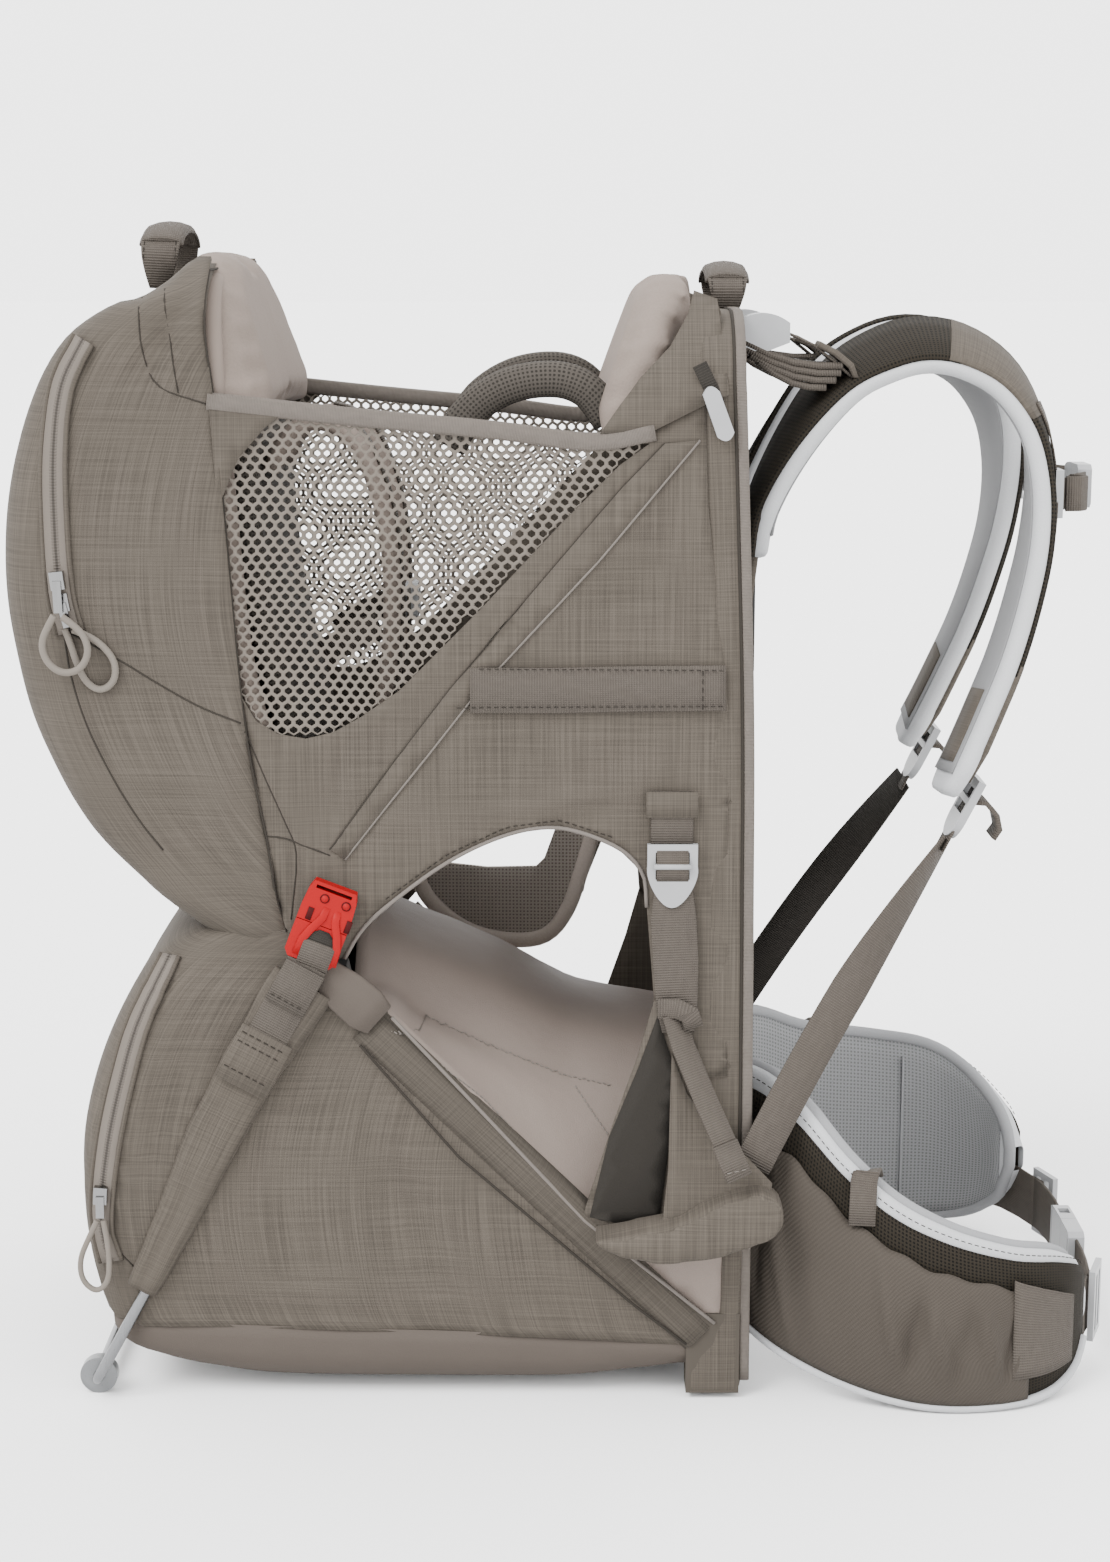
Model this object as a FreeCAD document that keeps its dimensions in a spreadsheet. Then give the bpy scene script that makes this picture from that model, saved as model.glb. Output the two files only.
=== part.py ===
"""Child carrier backpack: a bent tube frame with a folding kickstand, fabric panels and pads
around a cockpit for the child, and a shoulder harness and hip belt for the wearer.

Millimetres. X runs from the rear pocket to the wearer, Y from the right side to the left side,
Z up from the floor. The outlines below are drawn before origin_shift moves every piece along X,
which puts the origin under the middle of the whole carrier.
"""
import FreeCAD, Part
import Sketcher
import math
import os
from FreeCAD import Placement, Rotation, Vector

# Driving dimensions. Names that end in _inner are distances from the middle plane.
SIZES = {
    "origin_shift": -11.2,
    "tube_radius": 6,
    "tube_bore": 6.05,
    "tube_wall": 1.5,
    "tube_clearance": 6.6,
    "frame_plane": 102,
    "frame_half_width": 138,
    "frame_height": 668,
    "frame_leg_bottom": 30,
    "frame_bend": 55,
    "crossbar_height": 16,
    "crossbar_half_length": 140,
    "crossbar_socket": 14,
    "bracket_inner": 126,
    "bracket_width": 24,
    "hinge_inner": 131,
    "hinge_width": 17,
    "pin_radius": 4,
    "pin_bore": 4.02,
    "pin_inner": 132,
    "pin_length": 23.9,
    "pin_head_radius": 6.5,
    "pin_head": 1.3,
    "stand_x": -164,
    "stand_height": 250,
    "stand_rod_radius": 3.5,
    "stand_half_width": 152,
    "stand_length": 271.58,
    "stand_bend": 8,
    "stand_angle": 208.8,
    "eye_radius": 9,
    "eye_thickness": 7.4,
    "eye_bore": 4.05,
    "leg_bore": 3.6,
    "foot_radius": 12,
    "foot_inner": 133,
    "foot_width": 8,
    "leg_sleeve_inner": 147.8,
    "leg_sleeve_width": 9.2,
    "safety_strap_inner": 157.3,
    "safety_buckle_middle": 155,
    "webbing": 1.6,
    "panel_inner": 146,
    "panel": 3,
    "mesh_inner": 144.4,
    "mesh": 1.5,
    "sleeve_inner": 130,
    "sleeve_width": 19,
    "arm_inner": 129,
    "arm_width": 18,
    "pad_inner": 118,
    "pad_width": 28,
    "pocket_half_width": 140,
    "bag_half_width": 146,
    "base_half_width": 143,
    "fabric": 3,
    "backrest_width": 244,
    "child_strap_inner": 28,
    "child_strap_width": 40,
    "back_panel_width": 256,
    "toggle_inner": 149.2,
    "toggle": 6,
    "stirrup_inner": 150,
    "stirrup_platform": 44,
    "stirrup_buckle": 4,
    "lifter_inner": 66,
    "lifter_width": 24,
    "lifter_web_inner": 68,
    "lifter_web_width": 20,
    "shoulder_inner": 26,
    "shoulder_width": 65,
    "shoulder_lean": 8,
    "yoke_width": 150,
    "belt_half_thickness": 7,
    "belt_web_bottom": 24,
    "belt_web_height": 38,
    "sternum_web_bottom": 565,
    "sternum_web_height": 20,
    "handle_width": 25,
    "upper_tape_inner": 140.2,
    "lower_tape_inner": 146.2,
    "zip_tape": 1.4,
    "slider": 5.2,
    "pull_tab": 1.6,
}
RIGHT = -1
LEFT = 1
SIDES = {"right": RIGHT, "left": LEFT}

doc = FreeCAD.newDocument("ChildCarrier")
sheet = doc.addObject("Spreadsheet::Sheet", "Sizes")
for row, (alias, value) in enumerate(SIZES.items(), start=1):
    sheet.set(f"A{row}", str(value))
    sheet.setAlias(f"A{row}", alias)
doc.recompute()


def size(alias):
    """The number in the sheet's cell of that name."""
    return float(sheet.get(alias))


# ---------------------------------------------------------------- drawing helpers


def curves(runs):
    """Edges of a closed outline. A run of one point is a corner, a longer run a smooth curve,
    and straight lines join each run to the next."""
    edges = []
    for run, following in zip(runs, runs[1:] + runs[:1]):
        if len(run) > 1:
            curve = Part.BSplineCurve()
            curve.interpolate([Vector(u, v, 0) for u, v in run])
            edges.append(curve)
        if run[-1] != following[0]:
            edges.append(Part.LineSegment(Vector(*run[-1], 0), Vector(*following[0], 0)))
    return edges


def corners(*points):
    """An outline of straight lines through these points."""
    return [[point] for point in points]


def band(points, half):
    """An outline that runs along both sides of a line of points, half a thickness away."""
    near = []
    far = []
    for index, (u, v) in enumerate(points):
        before = points[max(index - 1, 0)]
        after = points[min(index + 1, len(points) - 1)]
        run_u = after[0] - before[0]
        run_v = after[1] - before[1]
        length = math.hypot(run_u, run_v)
        near.append((u - run_v / length * half, v + run_u / length * half))
        far.append((u + run_v / length * half, v - run_u / length * half))
    return [near, far[::-1]]


def on_circle(centre, radius, degrees):
    """A point on the rear side of a circle, degrees above the level of its centre."""
    turn = math.radians(degrees)
    return (centre[0] - radius * math.cos(turn), centre[1] + radius * math.sin(turn))


def arc_band(centre, radius, start, end, half):
    """A band along the rear side of a circle, as true arcs between two angles in degrees."""
    middle = (start + end) / 2
    outer = [on_circle(centre, radius + half, angle) for angle in (start, middle, end)]
    inner = [on_circle(centre, radius - half, angle) for angle in (end, middle, start)]
    return [outer, inner]


def draw(body, role, name, loops):
    """A sketch on one of the body's own origin planes."""
    plane = [feature for feature in body.Origin.OriginFeatures if feature.Role == role][0]
    sketch = body.newObject("Sketcher::SketchObject", name)
    sketch.AttachmentSupport = [(plane, "")]
    sketch.MapMode = "FlatFace"
    for loop in loops:
        for edge in curves(loop):
            sketch.addGeometry(edge, False)
    return sketch


def new_body(name):
    body = doc.addObject("PartDesign::Body", name)
    body.Label = name
    return body


def pad(body, sketch, length, symmetric=False):
    feature = body.newObject("PartDesign::Pad", sketch.Name + "_pad")
    feature.Profile = sketch
    feature.Midplane = symmetric
    feature.setExpression("Length", length)
    return feature


def pocket(body, sketch, length, symmetric=False):
    feature = body.newObject("PartDesign::Pocket", sketch.Name + "_pocket")
    feature.Profile = sketch
    feature.Midplane = symmetric
    feature.setExpression("Length", length)
    return feature


def plate(name, loops, inner, thickness, side):
    """A body with an outline in the side view, padded outwards from its inner distance."""
    body = new_body(name)
    sketch = draw(body, "XZ_Plane", name + "_outline", loops)
    offset = inner if side == RIGHT else f"-({inner}) - ({thickness})"
    sketch.setExpression(".AttachmentOffset.Base.z", offset)
    pad(body, sketch, thickness)
    return body


def add_plate(body, name, loops, inner, thickness, side):
    """Another pad on a plate's body."""
    sketch = draw(body, "XZ_Plane", name + "_outline", loops)
    offset = inner if side == RIGHT else f"-({inner}) - ({thickness})"
    sketch.setExpression(".AttachmentOffset.Base.z", offset)
    pad(body, sketch, thickness)


def level_plate(name, loops, bottom, height):
    """A body with an outline in the plan view, padded upwards."""
    body = new_body(name)
    sketch = draw(body, "XY_Plane", name + "_outline", loops)
    sketch.setExpression(".AttachmentOffset.Base.z", bottom)
    pad(body, sketch, height)
    return body


def bore(body, name, mouth, direction, radius, depth):
    """A round hole drilled into a body from its mouth along a direction."""
    sketch = draw(body, "XY_Plane", name, [])
    turn = Rotation(Vector(0, 0, -1), direction)
    sketch.AttachmentOffset = Placement(mouth, turn)
    circle = sketch.addGeometry(Part.Circle(Vector(0, 0, 0), Vector(0, 0, 1), size(radius)), False)
    constraint = sketch.addConstraint(Sketcher.Constraint("Radius", circle, size(radius)))
    sketch.setExpression(f"Constraints[{constraint}]", "Sizes." + radius)
    feature = body.newObject("PartDesign::Pocket", name + "_pocket")
    feature.Profile = sketch
    feature.Length = depth
    return feature


def group(name, members):
    """Several solids that share one node."""
    compound = doc.addObject("Part::Compound", name)
    compound.Label = name
    compound.Links = members
    return compound


def feature_of(name, shape):
    """A sub-part whose shape comes straight from Part's own functions."""
    feature = doc.addObject("Part::Feature", name)
    feature.Label = name
    feature.Shape = shape
    return feature


def prism(runs, half_width):
    """An outline in the side view, extruded to both sides of the middle plane."""
    wire = Part.Wire([edge.toShape() for edge in curves(runs)])
    face = Part.Face(wire)
    face.rotate(Vector(0, 0, 0), Vector(1, 0, 0), 90)
    face.translate(Vector(0, -half_width, 0))
    return face.extrude(Vector(0, 2 * half_width, 0))


def plan_prism(runs, bottom, top):
    """An outline in the plan view, extruded upwards."""
    wire = Part.Wire([edge.toShape() for edge in curves(runs)])
    face = Part.Face(wire)
    face.translate(Vector(0, 0, bottom))
    return face.extrude(Vector(0, 0, top - bottom))


def round_path(points, radii):
    """Straight runs joined by tangent arcs, one radius for each inner point."""
    edges = []
    start = points[0]
    for before, corner, after, radius in zip(points, points[1:], points[2:], radii):
        into = (corner - before).normalize()
        out = (after - corner).normalize()
        turn = into.getAngle(out)
        setback = radius * math.tan(turn / 2)
        arc_start = corner - into * setback
        arc_end = corner + out * setback
        middle = corner + (out - into).normalize() * radius * (1 / math.cos(turn / 2) - 1)
        edges.append(Part.LineSegment(start, arc_start).toShape())
        edges.append(Part.Arc(arc_start, middle, arc_end).toShape())
        start = arc_end
    edges.append(Part.LineSegment(start, points[-1]).toShape())
    return Part.Wire(edges)


def round_bar(points, radii, radius):
    """A round bar along a path of straight runs and arcs."""
    path = round_path(points, radii)
    circle = Part.Circle(points[0], points[1] - points[0], radius)
    profile = Part.Wire([circle.toShape()])
    return path.makePipeShell([profile], True, False)


def strip(name, start, end, across, width, thickness):
    """A straight flat strip between two points. across points along its width."""
    along = end - start
    length = along.Length
    along.normalize()
    normal = along.cross(across).normalize()
    side = normal.cross(along)
    box = doc.addObject("Part::Box", name)
    box.Length = length
    box.setExpression("Width", "Sizes." + width)
    box.setExpression("Height", "Sizes." + thickness)
    corner = start - side * (size(width) / 2) - normal * (size(thickness) / 2)
    box.Placement = Placement(corner, Rotation(along, side, normal, "XZY"))
    return box


# ---------------------------------------------------------------- frame

# The brace is the sloping part of the rear tube, from the base corner up to the seat's rear.
BRACE_TOP = (-140, 271)
BRACE_FALL = 0.987


def brace_height(x):
    return BRACE_TOP[1] - BRACE_FALL * (x - BRACE_TOP[0])


BRACE_ALONG = Vector(-1, 0, BRACE_FALL).normalize()
BRACE_ACROSS = Vector(BRACE_FALL, 0, 1).normalize()


def on_brace(x, across):
    """A side-view point at x on the brace's middle line, moved square to it."""
    return (x + BRACE_ACROSS.x * across, brace_height(x) + BRACE_ACROSS.z * across)


def hoop(name, half_width, height, bend, radius, wall):
    """A U of round tube in the YZ plane: two legs up from Z = 0 and a bar across the top."""
    body = new_body(name)
    spine = draw(body, "YZ_Plane", name + "_spine", [])
    quarter = math.pi / 2
    straight = height - bend
    top = half_width - bend
    left_bend = Part.Circle(Vector(top, straight, 0), Vector(0, 0, 1), bend)
    right_bend = Part.Circle(Vector(-top, straight, 0), Vector(0, 0, 1), bend)
    right_leg = Part.LineSegment(Vector(-half_width, 0, 0), Vector(-half_width, straight, 0))
    top_bar = Part.LineSegment(Vector(-top, height, 0), Vector(top, height, 0))
    left_leg = Part.LineSegment(Vector(half_width, straight, 0), Vector(half_width, 0, 0))
    spine.addGeometry(right_leg, False)
    spine.addGeometry(Part.ArcOfCircle(right_bend, quarter, 2 * quarter), False)
    spine.addGeometry(top_bar, False)
    spine.addGeometry(Part.ArcOfCircle(left_bend, 0, quarter), False)
    spine.addGeometry(left_leg, False)
    profile = draw(body, "XY_Plane", name + "_profile", [])
    centre = Vector(0, -half_width, 0)
    profile.addGeometry(Part.Circle(centre, Vector(0, 0, 1), radius), False)
    if wall < radius:
        profile.addGeometry(Part.Circle(centre, Vector(0, 0, 1), radius - wall), False)
    pipe = body.newObject("PartDesign::AdditivePipe", name + "_pipe")
    pipe.Profile = profile
    pipe.Spine = (spine, [])
    return body


def back_frame_hoop():
    leg_bottom = size("frame_leg_bottom")
    body = hoop("back_frame_hoop", size("frame_half_width"), size("frame_height") - leg_bottom,
                size("frame_bend"), size("tube_radius"), size("tube_wall"))
    body.Placement = Placement(Vector(size("frame_plane"), 0, leg_bottom), Rotation())
    return body


def back_hoop_shape(radius):
    """The back hoop as a solid bar of any radius, for cutting its way through fabric."""
    x = size("frame_plane")
    half = size("frame_half_width")
    top = size("frame_height")
    bottom = size("frame_leg_bottom")
    route = [(-half, bottom), (-half, top), (half, top), (half, bottom)]
    return round_bar([Vector(x, y, z) for y, z in route], [size("frame_bend")] * 2, radius)


def rear_tube_shape(radius):
    """The rear tube: up both braces, up behind the child and across the top."""
    half = size("frame_half_width")
    side_view = [(88, brace_height(88)), BRACE_TOP, (-192, 480), (-208, 706)]
    right = [Vector(x, -half, z) for x, z in side_view]
    left = [Vector(x, half, z) for x, z in reversed(side_view)]
    return round_bar(right + left, [60, 400, 50, 50, 400, 60], radius)


def rear_hoop_tube():
    inner = size("tube_radius") - size("tube_wall")
    return feature_of("rear_hoop_tube", rear_tube_shape(size("tube_radius")).cut(rear_tube_shape(inner)))


def base_crossbar():
    body = new_body("base_crossbar")
    sketch = draw(body, "XZ_Plane", "crossbar_ring", [])
    centre = Vector(size("frame_plane"), size("crossbar_height"), 0)
    sketch.addGeometry(Part.Circle(centre, Vector(0, 0, 1), size("tube_radius")), False)
    sketch.addGeometry(Part.Circle(centre, Vector(0, 0, 1), size("tube_radius") - size("tube_wall")), False)
    pad(body, sketch, "2 * Sizes.crossbar_half_length", symmetric=True)
    return body


def corner_brackets():
    """Moulded corners that hold the back hoop, the brace and the crossbar in blind sockets."""
    members = []
    socket_depth = 28.5
    top = 58
    mouth_x, mouth_z = on_brace(68, 0)
    outline = corners((84, 4), (118, 4), (118, top), (94, top), on_brace(68, 10), on_brace(68, -10),
                      (84, 37))
    for name, side in SIDES.items():
        body = plate(f"bracket_{name}", [outline], "Sizes.bracket_inner", "Sizes.bracket_width", side)
        y = side * size("frame_half_width")
        x = size("frame_plane")
        bore(body, f"hoop_socket_{name}", Vector(x, y, top), Vector(0, 0, -1), "tube_bore",
             top - size("frame_leg_bottom"))
        bore(body, f"brace_socket_{name}", Vector(mouth_x, y, mouth_z), BRACE_ALONG * -1, "tube_bore",
             socket_depth)
        mouth = Vector(x, side * size("bracket_inner"), size("crossbar_height"))
        bore(body, f"crossbar_socket_{name}", mouth, Vector(0, side, 0), "tube_bore",
             size("crossbar_socket"))
        members.append(body)
    return group("corner_brackets", members)


def kickstand_hinges():
    """Moulded clamps on the rear tube, each with a hole for its hinge pin."""
    members = []
    outline = corners((-178, 241), (-152, 238), (-120, 245), (-130, 288), (-158, 288), (-178, 262))
    way_for_tube = rear_tube_shape(size("tube_bore"))
    inner = size("hinge_inner")
    for name, side in SIDES.items():
        block = prism(outline, inner + size("hinge_width"))
        block = block.cut(prism(outline, inner))
        half_space = Part.makeBox(400, 400, 400, Vector(-400, 0 if side == LEFT else -400, 100))
        block = block.common(half_space).cut(way_for_tube)
        hole = Part.makeCylinder(size("pin_bore"), size("pin_length"),
                                 Vector(size("stand_x"), side * size("pin_inner"), size("stand_height")),
                                 Vector(0, side, 0))
        members.append(feature_of(f"hinge_{name}", block.cut(hole)))
    return group("kickstand_hinges", members)


def kickstand_pins():
    members = []
    for name, side in SIDES.items():
        shaft = doc.addObject("Part::Cylinder", f"pin_shaft_{name}")
        shaft.setExpression("Radius", "Sizes.pin_radius")
        shaft.setExpression("Height", "Sizes.pin_length")
        head = doc.addObject("Part::Cylinder", f"pin_head_{name}")
        head.setExpression("Radius", "Sizes.pin_head_radius")
        head.setExpression("Height", "Sizes.pin_head")
        outwards = Rotation(Vector(0, 0, 1), Vector(0, side, 0))
        x = size("stand_x")
        z = size("stand_height")
        shaft.Placement = Placement(Vector(x, side * size("pin_inner"), z), outwards)
        head_y = size("pin_inner") + size("pin_length")
        head.Placement = Placement(Vector(x, side * head_y, z), outwards)
        pin = doc.addObject("Part::Fuse", f"pin_{name}")
        pin.Base = shaft
        pin.Tool = head
        members.append(pin)
    return group("kickstand_pins", members)


# ---------------------------------------------------------------- kickstand


def stand_point(along, across=0):
    """A side-view point on the kickstand's leg, at a distance from the hinge pin."""
    turn = math.radians(size("stand_angle"))
    down = (math.sin(turn), math.cos(turn))
    return (size("stand_x") + down[0] * along - down[1] * across,
            size("stand_height") + down[1] * along + down[0] * across)


def kickstand_bar():
    """A U of solid rod with a flat eye at the end of each leg."""
    body = hoop("kickstand_bar", size("stand_half_width"), size("stand_length"), size("stand_bend"),
                size("stand_rod_radius"), size("stand_rod_radius"))
    for name, side in SIDES.items():
        eye = draw(body, "XZ_Plane", f"eye_{name}", [])
        eye.addGeometry(Part.Circle(Vector(0, 0, 0), Vector(0, 0, 1), size("eye_radius")), False)
        inner = "Sizes.stand_half_width - Sizes.eye_thickness / 2"
        eye.setExpression(".AttachmentOffset.Base.z",
                          inner if side == RIGHT else f"-({inner}) - Sizes.eye_thickness")
        pad(body, eye, "Sizes.eye_thickness")
    hole = draw(body, "XZ_Plane", "eye_hole", [])
    hole.addGeometry(Part.Circle(Vector(0, 0, 0), Vector(0, 0, 1), size("eye_bore")), False)
    pocket(body, hole, "4 * Sizes.stand_half_width", symmetric=True)
    body.Placement = Placement(Vector(size("stand_x"), 0, size("stand_height")),
                               Rotation(Vector(0, 1, 0), size("stand_angle")))
    return body


def kickstand_feet():
    """Round plastic feet on the bar's crosspiece, each with a hole for the rod."""
    members = []
    x, z = stand_point(size("stand_length"))
    for name, side in SIDES.items():
        body = new_body(f"foot_{name}")
        sketch = draw(body, "XZ_Plane", f"foot_ring_{name}", [])
        centre = Vector(x, z, 0)
        sketch.addGeometry(Part.Circle(centre, Vector(0, 0, 1), size("foot_radius")), False)
        sketch.addGeometry(Part.Circle(centre, Vector(0, 0, 1), size("stand_rod_radius") + 0.05), False)
        inner = "Sizes.foot_inner"
        sketch.setExpression(".AttachmentOffset.Base.z",
                             inner if side == RIGHT else f"-({inner}) - Sizes.foot_width")
        pad(body, sketch, "Sizes.foot_width")
        members.append(body)
    return group("kickstand_feet", members)


def kickstand_sleeves():
    """Fabric sleeves around the legs."""
    members = []
    half = 11
    start = 34
    end = 246
    outline = corners(stand_point(start, -half), stand_point(start, half),
                      stand_point(end, half), stand_point(end, -half))
    for name, side in SIDES.items():
        body = plate(f"leg_sleeve_{name}", [outline], "Sizes.leg_sleeve_inner", "Sizes.leg_sleeve_width", side)
        mouth_x, mouth_z = stand_point(start - 4)
        end_x, end_z = stand_point(end + 4)
        mouth = Vector(mouth_x, side * size("stand_half_width"), mouth_z)
        along = Vector(end_x - mouth_x, 0, end_z - mouth_z)
        bore(body, f"leg_way_{name}", mouth, along, "leg_bore", along.Length)
        members.append(body)
    return group("kickstand_sleeves", members)


# ---------------------------------------------------------------- buckles


def rectangle(left, right, half_height):
    return corners((left, -half_height), (right, -half_height), (right, half_height), (left, half_height))


BUCKLE_MARGIN = 4
BUCKLE_WALL = 1.8
PRONG = 4
PLAY = 0.3


def buckle_socket(name, web, length, thickness):
    """The female half of a side-release buckle. Its mouth is at x = 0 and faces +X."""
    half = web / 2 + BUCKLE_MARGIN
    body = new_body(name)
    outline = corners((-length, -half + 3), (-length + 6, -half + 1), (-8, -half), (0, -half),
                      (0, half), (-8, half), (-length + 6, half - 1), (-length, half - 3))
    pad(body, draw(body, "XY_Plane", name + "_outline", [outline]), str(thickness), symmetric=True)
    cavity = str(thickness - 2 * BUCKLE_WALL)
    hollow = rectangle(7 - length, 1, half - 3)
    pocket(body, draw(body, "XY_Plane", name + "_hollow", [hollow]), cavity, symmetric=True)
    windows = rectangle(-0.62 * length, -0.3 * length, half + 1)
    pocket(body, draw(body, "XY_Plane", name + "_windows", [windows]), cavity, symmetric=True)
    slot = rectangle(2.2 - length, 4.4 - length, web / 2 - 1)
    pocket(body, draw(body, "XY_Plane", name + "_slot", [slot]), str(2 * thickness), symmetric=True)
    return body


def buckle_clip(name, web, socket_length, length, thickness):
    """The male half: a webbing bar from x = 0 on, with three prongs into the socket."""
    half = web / 2 + BUCKLE_MARGIN
    body = new_body(name)
    outline = corners((0.5, -half), (length - 4, -half), (length, -half + 3),
                      (length, half - 3), (length - 4, half), (0.5, half))
    slot = rectangle(length - 5.4, length - 3, web / 2 - 1)
    pad(body, draw(body, "XY_Plane", name + "_outline", [outline, slot]), str(thickness), symmetric=True)
    prong_thickness = str(thickness - 2 * BUCKLE_WALL - 2 * PLAY)
    reach = -0.62 * socket_length
    outer = half - 3 - PLAY
    arms = [rectangle(0.7 * reach, 2, PRONG / 2),
            corners((reach, outer - PRONG), (2, outer - PRONG), (2, outer), (reach, outer)),
            corners((reach, -outer), (2, -outer), (2, PRONG - outer), (reach, PRONG - outer))]
    pad(body, draw(body, "XY_Plane", name + "_prongs", arms), prong_thickness, symmetric=True)
    return body


def set_buckle(body, mouth, pull, face):
    """Places a buckle half: pull is the way the clip comes out, face its flat side's normal."""
    pull = Vector(pull).normalize()
    face = Vector(face).normalize()
    body.Placement = Placement(mouth, Rotation(pull, face.cross(pull), face, "XZY"))
    return body


SAFETY_PULL = Vector(-0.36, 0, -0.93)
SAFETY = {"web": 25, "socket": 26, "clip": 25, "thickness": 9}
HIP = {"web": 38, "socket": 34, "clip": 30, "thickness": 11}
STERNUM = {"web": 20, "socket": 24, "clip": 22, "thickness": 9}
CHEST = {"web": 15, "socket": 22, "clip": 21, "thickness": 8}


def buckle_pair(name, kind, mouth, pull, face):
    """Both halves of one buckle, closed."""
    socket = buckle_socket(name + "_socket", kind["web"], kind["socket"], kind["thickness"])
    clip = buckle_clip(name + "_clip", kind["web"], kind["socket"], kind["clip"], kind["thickness"])
    set_buckle(socket, mouth, pull, face)
    set_buckle(clip, mouth, pull, face)
    return socket, clip


def safety_buckles():
    sockets = []
    clips = []
    for name, side in SIDES.items():
        mouth = Vector(-144, side * size("safety_buckle_middle"), 316)
        socket, clip = buckle_pair(f"safety_{name}", SAFETY, mouth, SAFETY_PULL, Vector(0, side, 0))
        clip.Label = f"safety_clip_{name}"
        sockets.append(socket)
        clips.append(clip)
    return [group("safety_buckle_sockets", sockets)] + clips


def safety_straps():
    """Webbing from each safety clip to the kickstand's sleeve."""
    members = []
    near, far = band([(-154.4, 289), (-192, 223.5)], 12.5)
    outline = corners(*near, *far)
    for name, side in SIDES.items():
        members.append(plate(f"safety_strap_{name}", [outline], "Sizes.safety_strap_inner",
                             "Sizes.webbing", side))
    return group("safety_straps", members)


# ---------------------------------------------------------------- cockpit

LEG_ARC = [(-96, 327), (-77, 350), (-46, 370), (-15, 375), (15, 373), (43, 362), (59, 343),
           (66, 325)]
PANEL_SEAM = [(-207, 626), (-200, 577), (-191, 492), (-187, 434), (-176, 368), (-163, 310)]


def side_panels():
    """Fabric sides of the cockpit, cut out for the leg at the bottom and for the mesh."""
    outline = [PANEL_SEAM, [(-140, 300)], LEG_ARC, [(86, 325)], [(86, 627)], [(59, 609)], [(22, 603)]]
    window = [[(-197, 612)], [(46, 591)], [(-95, 462), (-125, 440), (-153, 432), (-179, 440)],
              [(-186, 500)]]
    return [plate(f"side_panel_{name}", [outline, window], "Sizes.panel_inner", "Sizes.panel", side)
            for name, side in SIDES.items()]


def mesh_windows():
    """Mesh sewn behind the window of each side panel."""
    outline = [[(-200, 615)], [(54, 595)], [(-93, 458), (-125, 436), (-154, 428), (-183, 437)],
               [(-190, 500)]]
    windows = [plate(f"mesh_{name}", [outline], "Sizes.mesh_inner", "Sizes.mesh", side)
               for name, side in SIDES.items()]
    return group("mesh_windows", windows)


def inset(points, centre, step):
    """The points moved towards a centre by one step."""
    moved = []
    for u, v in points:
        reach = math.hypot(centre[0] - u, centre[1] - v)
        moved.append((u + (centre[0] - u) * step / reach, v + (centre[1] - v) * step / reach))
    return moved


def rear_pocket():
    """The big pocket behind the child: a bowl of padded fabric, open to the backrest."""
    half = size("pocket_half_width")
    wall = size("fabric")
    back = [(-219, 716), (-254, 697), (-302, 667), (-336, 589), (-342, 544), (-340, 493), (-326, 434),
            (-299, 368), (-262, 318)]
    front = [(-154, 299), (-192, 444), (-204, 520), (-216, 716)]
    outer = prism([back, [(-205, 299)], front], half)
    hollow_back = inset(back, (-215, 510), wall)
    floor = 299 + wall
    open_front = -120
    inner = prism([hollow_back, [(-204, floor)], [(open_front, floor)], [(open_front, 716 - wall)]],
                  half - wall)
    rear_curve = [(-312, half), (-330, 112), (-339, 60), (-342, 0), (-339, -60), (-330, -112), (-312, -half)]
    outer = outer.common(plan_prism([[(-140, half)], rear_curve, [(-140, -half)]], 290, 720))
    hollow_curve = inset(rear_curve, (-215, 0), wall)
    inner = inner.common(plan_prism([[(-100, half - wall)], hollow_curve, [(-100, wall - half)]], 290, 720))
    return feature_of("rear_pocket", outer.cut(inner))


def child_backrest():
    line = [(-143, 325), (-171, 444), (-186, 520), (-193, 630)]
    body = new_body("child_backrest")
    sketch = draw(body, "XZ_Plane", "backrest_outline", [band(line, 7)])
    pad(body, sketch, "Sizes.backrest_width", symmetric=True)
    return body


def head_pad(name, wing, middle, tube):
    """A U-shaped pad: a wing on each side and a bar across, cleared for the tube."""
    inner = size("pad_inner")
    shape = prism(wing, inner + size("pad_width")).cut(prism(wing, inner))
    shape = shape.fuse(prism(middle, inner + 1)).removeSplitter()
    return feature_of(name, shape.cut(tube))


def head_pads():
    rear_wing = [[(-206, 640)],
                 [(-206, 716), (-200, 723), (-190, 724), (-176, 710), (-165, 680), (-157, 641)]]
    rear_middle = corners((-206, 640), (-206, 716), (-190, 716), (-190, 640))
    rear = head_pad("rear_head_pad", rear_wing, rear_middle, rear_tube_shape(size("tube_clearance")))
    front_wing = [[(24, 618), (33, 648), (51, 696), (65, 716), (80, 717)],
                  [(93, 706)], [(93, 642)], [(60, 620)]]
    front_middle = corners((66, 642), (66, 712), (93, 706), (93, 642))
    front = head_pad("front_head_pad", front_wing, front_middle, back_hoop_shape(size("tube_clearance")))
    return [rear, front]


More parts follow.
